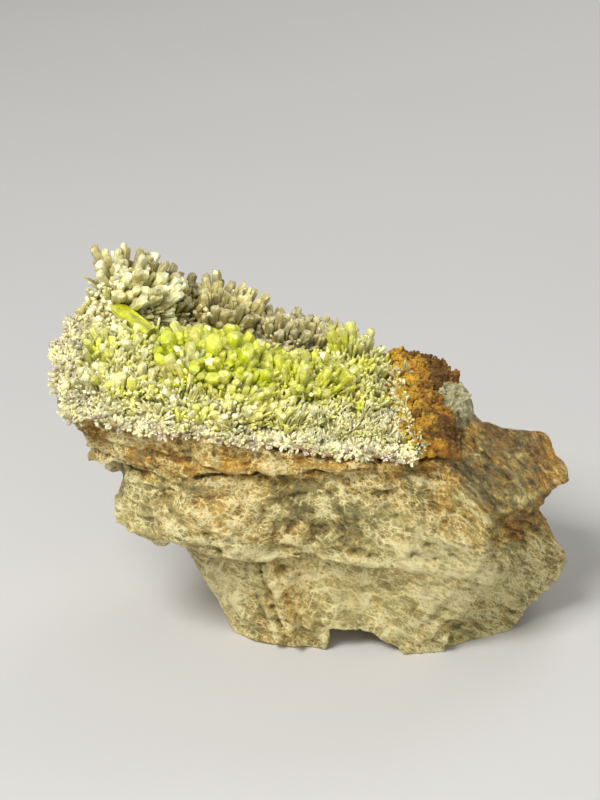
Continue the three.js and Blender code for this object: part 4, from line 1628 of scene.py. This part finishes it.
@dataclass(frozen=True)
class CrystalFinish:
    """How light meets the crystals, with pale streaks along them as painted glints."""

    name: str
    roughness: float = 0.2
    depth_mm: float = 0.9
    scatter: float = 0.6
    clear: float = 0.0
    coat: float = 0.3
    index: float = 1.7
    streaks: float = 0.6
    # Pale streaks along the prisms are painted glints.
    pale_streak: Triple = (0.95, 0.93, 0.66)
    dark_streak: Triple = (0.06, 0.07, 0.0)

    def material(self) -> Material:
        """Build the crystals' material.

        Returns:
            The material, which reads the crystals' vertex attributes.
        """
        s = Shader(self.name)
        tint = s.attribute("tint", "Color")
        cloud = s.ramp(s.noise(s.place(1.1), 5.0, 0.65, 0.5), (0.25, 0.66), (0.75, 1.3))
        broad = s.ramp(s.noise(s.place(0.3), 3.0, 0.6), (0.36, 0.74), (0.6, 1.26))
        base = s.mix(1.0, s.mix(1.0, tint, cloud, "MULTIPLY"), broad, "MULTIPLY")
        stripes = s.noise(s.along("strand", (2.2, 2.2, 2.2)), 6.0, 0.7)
        # Painted glints: pale streaks along the prisms.
        base = s.mix(s.ramp(stripes, (0.53, 0.0), (0.7, self.streaks)), base, self.pale_streak)
        base = s.mix(s.ramp(stripes, (0.28, 0.6), (0.44, 0.0)), base, s.mix(0.7, tint, self.dark_streak))
        fine = s.noise(s.place(3.0), 3.0, 0.6)
        normal = s.bump(fine, 0.00008, 0.4)
        normal = s.bump(s.noise(s.along("strand", (3.4, 3.4, 3.4)), 3.0, 0.6), 0.00035, 0.7, normal)
        wear = s.noise(s.place(3.0), 3.0)
        looks = {
            "Base Color": base,
            "Roughness": s.ramp(wear, (0.3, self.roughness * 0.6), (0.7, self.roughness * 1.6)),
            "Normal": normal,
            "IOR": self.index,
            "Specular IOR Level": 0.6,
            "Subsurface Weight": self.scatter,
            "Subsurface Radius": (1.0, 1.0, 0.5),
            "Subsurface Scale": self.depth_mm * MM,
            "Transmission Weight": self.clear,
            "Coat Weight": self.coat,
            "Coat Roughness": 0.05,
        }
        return s.finish(looks)


@dataclass(frozen=True)
class Family:
    """A fan of prisms, placed as on the solid, each in a sheaf of its own kind."""

    name: str
    seed: int
    count: int
    at: Pair
    spread: Pair
    length: Pair
    radius: Pair
    lean: float
    jitter: float
    each: int
    tones: tuple[Tone, ...]
    habit: Habit = Habit.PRISM
    extra: int = 0

    SINK = 1.6

    def crystals(self) -> Crystals:
        """Draw the family's prisms.

        Returns:
            The solid's own prisms, then the extra ones, then the sheaves around them.
        """
        draw = Draw(self.seed)
        rows = []
        for number in range(self.count + self.extra):
            angle = 2 * math.pi * draw.next()
            reach = math.sqrt(draw.next())
            across, inward = math.cos(angle) * reach, math.sin(angle) * reach
            x = self.at[0] + self.spread[0] * across
            depth = self.at[1] + self.spread[1] * inward
            direction = FORM.normal(x, depth)
            direction[0] += self.lean * across + self.jitter * draw.between(-1, 1)
            direction[1] += self.lean * inward + self.jitter * draw.between(-1, 1)
            direction = unit(direction)
            length = draw.between(*self.length) * (1.0 if number < self.count else 0.75)
            radius = draw.between(*self.radius)
            spin = draw.between(0, math.pi)
            root = np.array([x, depth, FORM.top(x, depth)]) - direction * self.SINK
            rows.append((root, direction, length + self.SINK, radius, spin))
        colours = np.random.default_rng(self.seed)
        tones = [self.tones[i] for i in colours.integers(len(self.tones), size=len(rows))]
        shade = colours.uniform(0.86, 1.08, (len(rows), 1))
        flat = colours.uniform(0.75, 1.0, len(rows))
        base, directions, lengths, radii, spins = (np.array(column) for column in zip(*rows))
        main = Crystals(base, directions, lengths, radii, flat, spins, *tints(tones, shade))
        slender = self.habit is Habit.PRISM and self.radius[0] < 0.95
        size = (0.3, 0.7) if slender else (0.45, 0.85)
        return Crystals.join([main, main.companions(self.each, 1.7, 0.5, size, self.seed)])


FAMILIES = (
    # The back spray's cream prisms are painted highlight: bright streaks among its faces.
    Family("back_spray", 11, 16, (-30.2, 37.5), (5.5, 5), (5, 7.5), (0.8, 1.1), 0.5, 0.25, 5,
           (Tone.KHAKI, Tone.WHITE_GREEN, Tone.CREAM, Tone.WHITE_GREEN), Habit.PRISM, 64),
    Family("back_row", 23, 8, (-23.5, 39), (5, 3.5), (3.8, 5.5), (0.7, 0.95), 0.35, 0.3, 5,
           (Tone.OLIVE, Tone.OLIVE, Tone.KHAKI), Habit.PRISM, 30),
    Family("back_cluster", 37, 9, (-14.5, 38.5), (4.5, 3.5), (4.5, 6.5), (0.85, 1.2), 0.5, 0.25, 5,
           (Tone.KHAKI,), Habit.BARREL, 26),
    Family("back_knobs", 41, 9, (-2.5, 38.4), (8, 4), (3.4, 5), (0.65, 0.9), 0.4, 0.35, 6,
           (Tone.GREY, Tone.GREY, Tone.KHAKI), Habit.BARREL, 66),
    Family("green_mass", 53, 10, (-16.5, 20), (8, 6.5), (3.2, 4.6), (0.9, 1.4), 0.7, 0.45, 9,
           (Tone.BRIGHT, Tone.YELLOW_GREEN, Tone.LIME), Habit.PRISM, 34),
    Family("green_middle", 67, 6, (0, 20), (6, 5.5), (2.8, 4), (0.8, 1.2), 0.6, 0.4, 12,
           (Tone.YELLOW_GREEN, Tone.BRIGHT, Tone.LIME), Habit.PRISM, 24),
    Family("pale_left", 83, 6, (-32, 17), (7, 8), (2.4, 3.6), (0.7, 1), 0.4, 0.5, 9,
           (Tone.PALE, Tone.WHITE_GREEN, Tone.YELLOW_GREEN, Tone.WHITE_GREEN), Habit.PRISM, 26),
    Family("pale_spray", 97, 6, (-13, 9.5), (13, 3.5), (2.4, 3.6), (0.55, 0.8), 0.5, 0.6, 10,
           (Tone.PALE, Tone.YELLOW_GREEN, Tone.GOLD, Tone.CREAM), Habit.PRISM, 36),
)


@dataclass(frozen=True)
class LargeCrystal:
    """One of the largest crystals, the same as on the solid, with the sheaf that it stands in."""

    at: Pair
    toward: Triple
    length: float
    radius: float
    tone: Tone
    each: int = 6
    splay: float = 0.35
    flat: float = 0.9

    SINK = 1.6
    RIBS = 14
    CORE = 0.8

    def crystals(self, seed: int) -> Crystals:
        """Draw the crystal and its sheaf.

        Args:
            seed: number that fixes the sheaf.

        Returns:
            The large crystal first, then the smaller ones around it.
        """
        direction = unit(np.array(self.toward, dtype=float))
        base = np.array([*self.at, FORM.top(*self.at)]) - direction * self.SINK
        sizes = (self.length + self.SINK, self.radius * self.CORE, self.flat, 0.3 * seed)
        main = Crystals.single(base, direction, *sizes, *self.tone.value)
        ribs = main.companions(self.RIBS, 0.95, 0.1, (0.42, 0.66), 500 + seed)
        around = main.companions(self.each, 1.8, self.splay, (0.35, 0.75), 300 + seed)
        return Crystals.join([main, ribs, around])


LARGE_CRYSTALS = (
    LargeCrystal((-22.8, 19.5), (-0.35, -0.25, 1), 4.2, 1.9, Tone.LIME, 4),
    LargeCrystal((-22.4, 14.6), (-0.3, -0.2, 1), 4.2, 1.6, Tone.GOLD, 5),
    LargeCrystal((-20, 15.6), (0.02, -0.1, 1), 5.2, 1.3, Tone.PALE, 4),
    LargeCrystal((-19.4, 23), (0.15, 0, 1), 3.6, 1.7, Tone.YELLOW_GREEN, 6),
    LargeCrystal((-16.5, 18), (0.1, -0.3, 1), 4.8, 2.1, Tone.BRIGHT, 7),
    LargeCrystal((-12, 17.5), (0.4, -0.2, 1), 4.6, 1.9, Tone.LIME, 8),
    LargeCrystal((-14.5, 23.5), (0.3, 0.2, 1), 4.2, 1.6, Tone.BRIGHT, 8),
    LargeCrystal((-18.6, 21), (-0.2, 0.15, 1), 3.6, 1.8, Tone.BRIGHT, 6),
    LargeCrystal((-13.6, 20.4), (0.25, -0.05, 1), 4.4, 1.9, Tone.LIME, 6),
    LargeCrystal((-10, 21), (0.45, 0.1, 1), 3.6, 1.7, Tone.BRIGHT, 8),
    LargeCrystal((-8.6, 15.4), (0.6, -0.35, 1), 3.6, 1.4, Tone.LIME, 8),
    LargeCrystal((-14.6, 13.6), (0.05, -0.6, 1), 3.4, 1.5, Tone.YELLOW_GREEN, 8),
    LargeCrystal((-9.4, 11.4), (0.7, -0.35, 0.8), 4.4, 1.5, Tone.YELLOW_GREEN, 9, 0.5, 0.6),
    LargeCrystal((-12.4, 10), (0.2, -0.7, 0.8), 3.6, 1.2, Tone.YELLOW_GREEN, 8, 0.5, 0.7),
    LargeCrystal((-34.3, 12.5), (0, 0.05, 1), 3.4, 1.15, Tone.PALE, 3),
    LargeCrystal((-29.4, 23), (-0.75, -0.6, 0.3), 4.4, 0.95, Tone.PALE, 8, 0.45, 0.5),
    LargeCrystal((-26.4, 23.2), (-0.2, -0.25, 1), 1.6, 1.1, Tone.PALE, 9, 0.6),
    LargeCrystal((-27.4, 25.4), (0.3, 0.2, 1), 1.4, 1.0, Tone.YELLOW_GREEN, 9, 0.6),
    LargeCrystal((-1.6, 16), (0.1, -0.15, 1), 4.6, 1.3, Tone.YELLOW_GREEN, 12, 0.4),
    LargeCrystal((1.4, 17), (0.38, -0.1, 1), 4.2, 1.1, Tone.BRIGHT, 12, 0.4),
    LargeCrystal((-4.4, 18.5), (-0.35, 0, 1), 4.2, 1.2, Tone.BRIGHT, 10, 0.4),
    LargeCrystal((6.6, 33.5), (0.05, 0.2, 1), 5, 1.5, Tone.YELLOW_GREEN, 14, 0.4),
    LargeCrystal((9, 34), (0.4, 0.15, 1), 4.4, 1.2, Tone.PALE, 14, 0.5),
    LargeCrystal((4.6, 32), (-0.3, 0, 1), 4.2, 1.2, Tone.BRIGHT, 12, 0.4),
)


@dataclass(frozen=True)
class LimePrism:
    """The large prism that lies along the slope at the left, the same as on the solid."""

    start: Pair = (-27, 24.4)
    end: Pair = (-33.2, 31)
    above: float = 1.3
    radius: float = 1.5
    flat: float = 0.85
    spin: float = 0.5
    root_shade: float = 0.8

    def crystals(self) -> Crystals:
        """Draw the prism with the thinner ones grown along it.

        Returns:
            The prism first, then the thinner ones.
        """
        ends = [np.array([*place, FORM.top(*place) + self.above]) for place in (self.start, self.end)]
        along = ends[1] - ends[0]
        sizes = (np.linalg.norm(along), self.radius, self.flat, self.spin)
        root = self.root_shade * np.array(Tone.BRIGHT.value[1])
        main = Crystals.single(ends[0], along, *sizes, root, Tone.LIME.value[1])
        return Crystals.join([main, main.companions(8, 0.62, 0.0, (0.5, 0.62), 290)])


@dataclass(frozen=True)
class DruseZone:
    """A patch of fine druse with its own sizes and colours, in millimetres."""

    name: str
    at: Pair
    reach: Pair
    length: Pair
    radius: Pair
    tones: tuple[Tone, ...]
    each: int
    splay: float
    weight: float = 1.0

    def pull(self, x: Array, depth: Array) -> Array:
        """Give how strongly the zone claims plan positions."""
        return Patch(*self.at, *self.reach, self.weight).share(x, depth) + 1e-6


@dataclass
class Druse:
    """Fine crystals over the whole ground, in small sprays. Lengths are in millimetres."""

    zones: tuple[DruseZone, ...] = (
        DruseZone("grains", (-39, 13), (8, 14), (0.8, 1.5), (0.18, 0.36),
                  (Tone.CREAM, Tone.WHITE_GREEN, Tone.CREAM), 6, 1.0, 1.3),
        DruseZone("rim", (-10, 2), (40, 2.5), (0.5, 1.0), (0.2, 0.38),
                  (Tone.WHITE_GREEN, Tone.CREAM, Tone.PINK, Tone.CREAM), 6, 1.1, 2.0),
        DruseZone("left_back", (-31, 34), (9, 7), (1.0, 2.2), (0.3, 0.55),
                  (Tone.KHAKI, Tone.WHITE_GREEN, Tone.CREAM), 5, 0.8),
        DruseZone("back", (-18, 39), (11, 6), (1.0, 2.2), (0.3, 0.55), (Tone.OLIVE, Tone.KHAKI), 5, 0.7),
        DruseZone("knobs", (0, 37), (12, 7), (0.9, 1.9), (0.3, 0.55),
                  (Tone.KHAKI, Tone.GREY, Tone.GREY), 5, 0.7),
        DruseZone("green", (-17, 20), (10, 7), (1.6, 3.2), (0.24, 0.54),
                  (Tone.BRIGHT, Tone.YELLOW_GREEN, Tone.LIME), 6, 0.9, 1.3),
        DruseZone("left_pale", (-30, 20), (7, 7), (1.5, 3.1), (0.2, 0.44),
                  (Tone.PALE, Tone.WHITE_GREEN, Tone.YELLOW_GREEN), 6, 1.0),
        DruseZone("middle", (0, 19), (8, 6), (1.3, 2.6), (0.2, 0.42),
                  (Tone.LIME, Tone.YELLOW_GREEN, Tone.GOLD, Tone.PALE), 6, 0.8, 1.2),
        DruseZone("right", (8, 31), (5, 7), (1.4, 2.6), (0.2, 0.4), (Tone.PALE, Tone.YELLOW_GREEN), 6, 0.8),
        DruseZone("front", (-18, 8), (13, 5), (1.3, 2.9), (0.17, 0.38),
                  (Tone.PALE, Tone.WHITE_GREEN, Tone.CREAM, Tone.YELLOW_GREEN, Tone.CREAM), 7, 1.1, 1.2),
        DruseZone("needles", (7, 9), (9, 7), (1.0, 1.9), (0.13, 0.24),
                  (Tone.PALE, Tone.WHITE_GREEN, Tone.CREAM), 11, 0.9, 1.1),
        DruseZone("white", (9, 4.6), (7, 1.7), (0.8, 1.4), (0.14, 0.26), (Tone.CREAM,), 11, 1.0, 1.6),
        DruseZone("edge", (13, 16), (3, 12), (1.0, 1.9), (0.16, 0.32),
                  (Tone.CREAM, Tone.WHITE_GREEN), 7, 1.0),
    )
    spacing: float = 1.02
    rim_spacing: float = 0.74
    rim_depth: float = 6.5
    low_height: float = 1.7
    sink: float = 0.55
    spill: float = 1.9
    spill_depth: float = 31.0
    clear_of_base: float = 0.2
    clear_of_cap: float = 0.7
    stray: float = 0.55
    rim_pull: float = 6.0
    border_sharpness: float = 1.7
    lean: Triple = (0.0, -0.15, 0.3)
    vigour: Pair = (0.62, 1.28)
    seed: int = 29

    def roots(self, ground: Piece, cap: Piece) -> tuple[Array, Array]:
        """Scatter root points on the ground, none on its underside, and a few on the cap's near border.

        Args:
            ground: the ground's object.
            cap: the limonite's object.

        Returns:
            Positions in specimen millimetres, and outward normals.
        """
        points, normals = vertices_of(ground)
        lowest = FORM.underside(points[:, 0], points[:, 1]) + self.clear_of_base
        open_side = (points[:, 2] > lowest) & (normals[:, 2] > -0.55)
        open_side &= points[:, 0] < FORM.limonite_edge(points[:, 1]) - self.clear_of_cap
        points, normals = points[open_side], normals[open_side]
        far, slopes = vertices_of(cap)
        spill = self.spill * (0.3 + 0.7 * np.sin(0.9 * far[:, 1]) ** 2)
        border = (far[:, 0] < FORM.limonite_edge(far[:, 1]) + spill) & (slopes[:, 2] > 0.15)
        border &= far[:, 1] < self.spill_depth
        points, normals = np.concatenate([points, far[border]]), np.concatenate([normals, slopes[border]])
        draw = np.random.default_rng(self.seed)
        order = draw.permutation(len(points))
        points, normals = points[order], normals[order]
        low = points[:, 2] - FORM.bed(points[:, 0], points[:, 1]) < self.low_height
        apart = np.where(low | (points[:, 1] < self.rim_depth), self.rim_spacing, self.spacing)
        kept = self.thinned(points, apart)
        return points[kept], normals[kept]

    def thinned(self, points: Array, apart: Array) -> list[int]:
        """Keep points in turn, each far enough from those already kept.

        Args:
            points: positions, one row each.
            apart: the least distance for each.

        Returns:
            The numbers of the rows that are kept.
        """
        chosen: dict[tuple[int, int, int], list[int]] = {}
        kept = []
        for number, (place, key) in enumerate(zip(points, np.floor(points / self.spacing).astype(int))):
            around = (tuple(key + np.array(step) - 1) for step in np.ndindex(3, 3, 3))
            near = [other for cell in around for other in chosen.get(cell, ())]
            if near and np.min(np.sum((points[near] - place) ** 2, axis=1)) < apart[number] ** 2:
                continue
            chosen.setdefault(tuple(key), []).append(number)
            kept.append(number)
        return kept

    def crystals(self, ground: Piece, cap: Piece) -> tuple[Crystals, Array]:
        """Grow the druse in small radiating sprays.

        Args:
            ground: the ground's object.
            cap: the limonite's object.

        Returns:
            The prisms, and the number of the zone that each belongs to.
        """
        points, normals = self.roots(ground, cap)
        draw = np.random.default_rng(self.seed + 1)
        pulls = np.stack([zone.pull(points[:, 0], points[:, 1]) for zone in self.zones], axis=1)
        low = points[:, 2] - FORM.bed(points[:, 0], points[:, 1]) < self.low_height
        rim = [zone.name for zone in self.zones].index("rim")
        pulls[:, rim] += self.rim_pull * (low | (normals[:, 2] < 0.45))
        pulls = pulls**self.border_sharpness
        odds = np.cumsum(pulls / pulls.sum(axis=1, keepdims=True), axis=1)
        choice = (draw.random(len(points))[:, None] > odds).sum(axis=1).clip(0, len(self.zones) - 1)
        each = np.array([zone.each for zone in self.zones])[choice]
        own = np.repeat(np.arange(len(points)), each)
        zone = choice[own]
        count = len(own)
        stray = self.stray * draw.normal(size=normals.shape)
        axis = unit(unit(normals) + np.array(self.lean) + stray)[own]
        outward = sideways(draw, axis)
        reach = np.sqrt(draw.random(count))
        splay = np.array([z.splay for z in self.zones])[zone] * reach
        direction = unit(axis + outward * splay[:, None])
        lengths = np.array([z.length for z in self.zones])[zone]
        radii = np.array([z.radius for z in self.zones])[zone]
        vigour = draw.uniform(*self.vigour, len(points))[own]
        length = (lengths[:, 0] + (lengths[:, 1] - lengths[:, 0]) * draw.random(count)) * vigour
        radius = (radii[:, 0] + (radii[:, 1] - radii[:, 0]) * draw.random(count)) * (0.5 + 0.5 * vigour)
        picks = draw.random(len(points))[own]
        palettes = [self.zones[number].tones for number in zone]
        tones = [palette[int(share * len(palette))] for palette, share in zip(palettes, picks)]
        root, tip = tints(tones, draw.uniform(0.84, 1.08, count)[:, None])
        crystals = Crystals(
            base=points[own] + outward * (0.3 * self.spacing * reach)[:, None] - direction * self.sink,
            direction=direction,
            length=length + self.sink,
            radius=radius,
            flat=draw.uniform(0.7, 1.0, count),
            spin=draw.uniform(0, math.pi, count),
            root=root,
            tip=tip,
        )
        return crystals, zone

    def within(self, zone: Array, *names: str) -> Array:
        """Tell which prisms belong to zones of these names."""
        numbers = [number for number, one in enumerate(self.zones) if one.name in names]
        return np.isin(zone, numbers)


@dataclass
class CrystalGrowth:
    """Every crystal on the crust."""

    druse: Druse = field(default_factory=Druse)
    halves_part_at: float = -10.0
    gem: CrystalFinish = CrystalFinish("gem_pyromorphite", 0.12, 1.0, 0.6, clear=0.12, coat=0.8)
    dull: CrystalFinish = CrystalFinish("khaki_pyromorphite", 0.16, 0.6, 0.45, streaks=0.8)
    fine: CrystalFinish = CrystalFinish("fine_pyromorphite", 0.2, 0.4, 0.3, coat=0.0)

    def make(self, ground: Piece, cap: Piece) -> list[Piece]:
        """Grow and dress all the crystals.

        Args:
            ground: the object that the fine crystals stand on.
            cap: the limonite, whose near border carries a few of them.

        Returns:
            One object for each family, one for the largest crystals and four for the druse.
        """
        made = []
        for family in FAMILIES:
            crystals = family.crystals().mesh(f"{family.name}_crystals", family.habit, family.seed)
            finish = self.gem if family.name.startswith("green") else self.dull
            made.append(settle(crystals, finish.material(), CRUST_NODE))
        large = [crystal.crystals(number) for number, crystal in enumerate(LARGE_CRYSTALS)]
        large.append(LimePrism().crystals())
        largest = Crystals.join(large).mesh("large_crystals", Habit.BARREL, 7, 0.2)
        made.append(settle(largest, self.gem.material(), CRUST_NODE))
        fine, zone = self.druse.crystals(ground, cap)
        grains = self.druse.within(zone, "grains", "rim")
        needles = self.druse.within(zone, "needles", "white")
        right = (fine.base[:, 0] > self.halves_part_at) & ~grains & ~needles
        kinds = (
            ("druse_grains", grains, Habit.GRAIN, 3),
            ("druse_needles", needles, Habit.NEEDLE, 6),
            ("druse_left", ~right & ~grains & ~needles, Habit.STUB, 4),
            ("druse_right", right, Habit.STUB, 5),
        )
        for name, share, habit, seed in kinds:
            druse = fine.pick(share).mesh(name, habit, seed)
            made.append(settle(druse, self.fine.material(), CRUST_NODE))
        return made


# -------------------- limonite and quartz


@dataclass(frozen=True)
class LimoniteFinish:
    """Colours of the granular iron oxide, which is golden up to a place along X in metres."""

    gold: Triple = (0.85, 0.52, 0.04)
    orange: Triple = (0.5, 0.22, 0.016)
    brown: Triple = (0.13, 0.055, 0.01)
    cream: Triple = (0.8, 0.68, 0.38)
    gold_reach: Pair = (0.014, 0.022)

    def material(self) -> Material:
        """Build the limonite's material.

        Returns:
            The material.
        """
        s = Shader("granular_limonite")
        patch = s.noise(s.place(0.4), 6.0, 0.7, 0.4)
        place = s.node("ShaderNodeTexCoord").outputs["Object"]
        across = s.node("ShaderNodeSeparateXYZ", {"Vector": place}).outputs["X"]
        start, end = self.gold_reach
        reach = s.node("ShaderNodeMapRange", {"Value": across, "From Min": start, "From Max": end})
        far = s.times(reach.outputs["Result"], 0.16)
        golden = s.ramp(s.math("SUBTRACT", patch, far), (0.33, 0.0), (0.52, 1.0))
        base = s.mix(golden, self.orange, self.gold)
        deep = s.total(s.noise(s.place(0.22), 4.0, 0.6, 0.5), far)
        base = s.mix(s.ramp(deep, (0.55, 0.0), (0.68, 0.85)), base, self.brown)
        grain = s.noise(s.place(2.2), 5.0, 0.7)
        base = s.mix(s.ramp(grain, (0.32, 0.9), (0.5, 0.0)), base, self.brown)
        base = s.mix(s.ramp(grain, (0.6, 0.0), (0.74, 0.6)), base, self.cream)
        base = s.mix(s.ramp(s.attribute("cavity"), (0.15, 0.9), (0.48, 0.0)), base, self.brown)
        normal = s.bump(s.noise(s.place(3.0), 6.0, 0.75), 0.0004, 0.9)
        return s.finish({"Base Color": base, "Roughness": 0.82, "Normal": normal})


@dataclass
class Limonite:
    """The granular cap, refined from the solid's own form. Lengths are in millimetres."""

    node: str = "limonite_crust"
    voxel: float = 0.24
    reach: float = 1.8
    lump_size: float = 1.9
    lump_relief: float = 1.3
    grains: int = 2400
    grain_radius: Pair = (0.14, 0.42)
    grain_reach: float = 1.5
    grain_lift: float = 0.2
    drop_height: float = 60.0
    most_fall: float = 3.0
    seed: int = 71
    finish: LimoniteFinish = field(default_factory=LimoniteFinish)
    noise: Noise = field(default_factory=lambda: Noise(43))

    def relief(self, p: Array) -> Array:
        """Give lumps, pits and grains.

        Args:
            p: positions, one row each.

        Returns:
            Millimetres outwards for each row.
        """
        lumps, _ = self.noise.cells(p / self.lump_size)
        grains, _ = self.noise.cells(p / (0.45 * self.lump_size) + 6.0)
        height = self.lump_relief * (0.5 - lumps) + 0.45 * self.lump_relief * (0.45 - grains)
        return height + 0.35 * self.noise.fractal(p * 0.8, 3)

    def make(self) -> Piece:
        """Build and dress the limonite.

        Returns:
            Its object, which stands for its node.
        """
        made, volume = refine(self.node, "granular_limonite", self.voxel, self.reach, self.relief)
        skin, _ = vertices_of(made)
        set_values(made, "cavity", np.clip(0.5 + 2.0 * volume.prominence(2, skin), 0.0, 1.0))
        return settle(made, self.finish.material(), self.node)

    def scatter(self, made: Piece, others: list[Piece]) -> Piece:
        """Drop loose grains over the cap and its borders.

        Args:
            made: the cap's object.
            others: the pieces beside it that grains can lie on.

        Returns:
            The grains' object.
        """
        draw = np.random.default_rng(self.seed)
        skin, _ = vertices_of(made)
        start = skin[draw.integers(len(skin), size=self.grains)]
        turn = draw.uniform(0, 2 * math.pi, self.grains)
        reach = self.grain_reach * np.sqrt(draw.random(self.grains))
        x, depth = start[:, 0] + reach * np.cos(turn), start[:, 1] + reach * np.sin(turn)
        height = landing([made, *others], x, depth, self.drop_height)
        found = np.isfinite(height) & (np.abs(height - start[:, 2]) < self.most_fall)
        radius = draw.uniform(*self.grain_radius, self.grains)[found]
        centres = np.stack([x, depth, height], axis=1)[found]
        centres[:, 2] += self.grain_lift * radius
        grains = lumps("limonite_grains", centres, radius, self.seed + 1)
        set_values(grains, "cavity", np.full(len(grains.data.vertices), 0.6))
        return settle(grains, made.data.materials[0], self.node)


@dataclass(frozen=True)
class QuartzFinish:
    """The translucent grey-green quartz."""

    clear: Triple = (0.26, 0.24, 0.11)
    milky: Triple = (0.68, 0.63, 0.38)
    stain: Triple = (0.34, 0.25, 0.07)

    def material(self) -> Material:
        """Build the quartz's material.

        Returns:
            The material.
        """
        s = Shader("milky_quartz")
        veil = s.noise(s.place(0.9), 7.0, 0.7, 1.2)
        fibres = s.noise(s.place((0.35, 0.35, 2.6), (0.5, 0.7, 0.0)), 6.0, 0.7, 0.3)
        stains = s.noise(s.place(0.7), 4.0)
        base = s.mix(s.ramp(veil, (0.36, 0.0), (0.62, 1.0)), self.clear, self.milky)
        base = s.mix(s.ramp(fibres, (0.52, 0.0), (0.66, 0.7)), base, self.milky)
        base = s.mix(s.ramp(stains, (0.52, 0.0), (0.68, 0.6)), base, self.stain)
        normal = s.bump(s.noise(s.place(1.9), 5.0, 0.6), 0.0003, 0.5)
        looks = {
            "Base Color": base,
            "Roughness": 0.26,
            "Normal": s.bump(fibres, 0.0006, 0.6, normal),
            "IOR": 1.54,
            "Transmission Weight": 0.12,
            "Subsurface Weight": 0.4,
            "Subsurface Radius": (1.0, 1.0, 0.7),
            "Subsurface Scale": 0.8 * MM,
        }
        return s.finish(looks)


@dataclass
class Quartz:
    """The fractured knob, refined from the solid's own form. Lengths are in millimetres."""

    node: str = "quartz_knob"
    voxel: float = 0.16
    reach: float = 1.2
    facet_size: float = 2.3
    facet_relief: float = 1.5
    finish: QuartzFinish = field(default_factory=QuartzFinish)
    noise: Noise = field(default_factory=lambda: Noise(61))

    def relief(self, p: Array) -> Array:
        """Give fractured facets.

        Args:
            p: positions, one row each.

        Returns:
            Millimetres outwards for each row.
        """
        _, facet = self.noise.cells(p / self.facet_size)
        _, chip = self.noise.cells(p / (0.45 * self.facet_size) + 2.0)
        rough = 0.12 * self.noise.fractal(p * 0.8, 3)
        return self.facet_relief * facet + 0.3 * self.facet_relief * chip + rough

    def make(self) -> Piece:
        """Build and dress the quartz."""
        made, _ = refine(self.node, "milky_quartz", self.voxel, self.reach, self.relief)
        return settle(made, self.finish.material(), self.node)


# -------------------- the studio


@dataclass(frozen=True)
class Lamp:
    """A soft square lamp: where it hangs, its side in metres and its power in watts."""

    name: str
    place: Triple
    size: float
    power: float


@dataclass
class Studio:
    """A plain pale floor, soft lights and the camera. Lengths are in metres."""

    elevation: float = math.radians(25)
    distance: float = 0.4
    lens: float = 105.9
    aim: Triple = (-0.0024, 0.0, 0.0377)
    floor_size: float = 6.0
    floor_tone: Triple = (0.62, 0.61, 0.59)
    sky_tone: Triple = (1.0, 0.985, 0.95)
    sky_strength: float = 0.3
    lamps: tuple[Lamp, ...] = (
        Lamp("key", (-0.27, -0.3, 0.52), 0.26, 4.0),
        Lamp("front_fill", (0.24, -0.56, 0.17), 0.5, 1.1),
        Lamp("rim", (0.2, 0.45, 0.4), 0.3, 0.8),
    )

    def floor(self) -> None:
        """Lay the floor."""
        half = self.floor_size / 2
        mesh = bpy.data.meshes.new("floor")
        corners = [(-half, -half, 0), (half, -half, 0), (half, half, 0), (-half, half, 0)]
        mesh.from_pydata(corners, [], [(0, 1, 2, 3)])
        made = link("floor", mesh)
        s = Shader("pale_floor")
        darker = tuple(0.97 * value for value in self.floor_tone)
        tone = s.mix(s.noise(s.place(0.02), 3.0), self.floor_tone, darker)
        made.data.materials.append(s.finish({"Base Color": tone, "Roughness": 0.7}))

    def light(self, lamp: Lamp) -> None:
        """Hang one lamp, aimed at the specimen.

        Args:
            lamp: the lamp.
        """
        data = bpy.data.lights.new(lamp.name, "AREA")
        data.size = lamp.size
        data.energy = lamp.power
        made = link(lamp.name, data)
        made.location = lamp.place
        made.rotation_euler = (Vector(self.aim) - Vector(lamp.place)).to_track_quat("-Z", "Y").to_euler()

    def camera(self) -> None:
        """Set the camera at the viewing angle."""
        data = bpy.data.cameras.new("camera")
        data.lens = self.lens
        data.clip_start = 0.01
        made = link("camera", data)
        back = Vector((0.0, -math.cos(self.elevation), math.sin(self.elevation)))
        made.location = Vector(self.aim) + back * self.distance
        made.rotation_euler = (-back).to_track_quat("-Z", "Y").to_euler()
        bpy.context.scene.camera = made

    def world(self) -> None:
        """Fill the shadows with an even grey."""
        world = bpy.data.worlds.new("studio")
        world.use_nodes = True
        background = world.node_tree.nodes["Background"]
        background.inputs["Color"].default_value = (*self.sky_tone, 1.0)
        background.inputs["Strength"].default_value = self.sky_strength
        bpy.context.scene.world = world

    def make(self) -> None:
        """Set up the whole studio."""
        self.floor()
        for lamp in self.lamps:
            self.light(lamp)
        self.camera()
        self.world()
        bpy.context.scene.view_settings.view_transform = "Standard"


def report(made: Piece) -> None:
    """Log a piece's name and triangle count."""
    made.data.calc_loop_triangles()
    LOG.info("%s: %d triangles", made.name, len(made.data.loop_triangles))


def save_sizes() -> None:
    """Bring the view layer up to date."""
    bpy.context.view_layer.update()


def main() -> None:
    """Build the studio and every piece in order."""
    logging.basicConfig(level=logging.INFO, format="%(message)s")
    Studio().make()
    limonite = Limonite()
    rock, ground, cap, knob = Rock().make(), Ground().make(), limonite.make(), Quartz().make()
    crystals = CrystalGrowth().make(ground, cap)
    beside = [rock, ground, *(piece for piece in crystals if piece.name in ("druse_needles", "druse_right"))]
    pieces = [rock, ground, *crystals, cap, limonite.scatter(cap, beside), knob]
    for piece in pieces:
        report(piece)
    save_sizes()


if __name__ == "__main__":
    main()
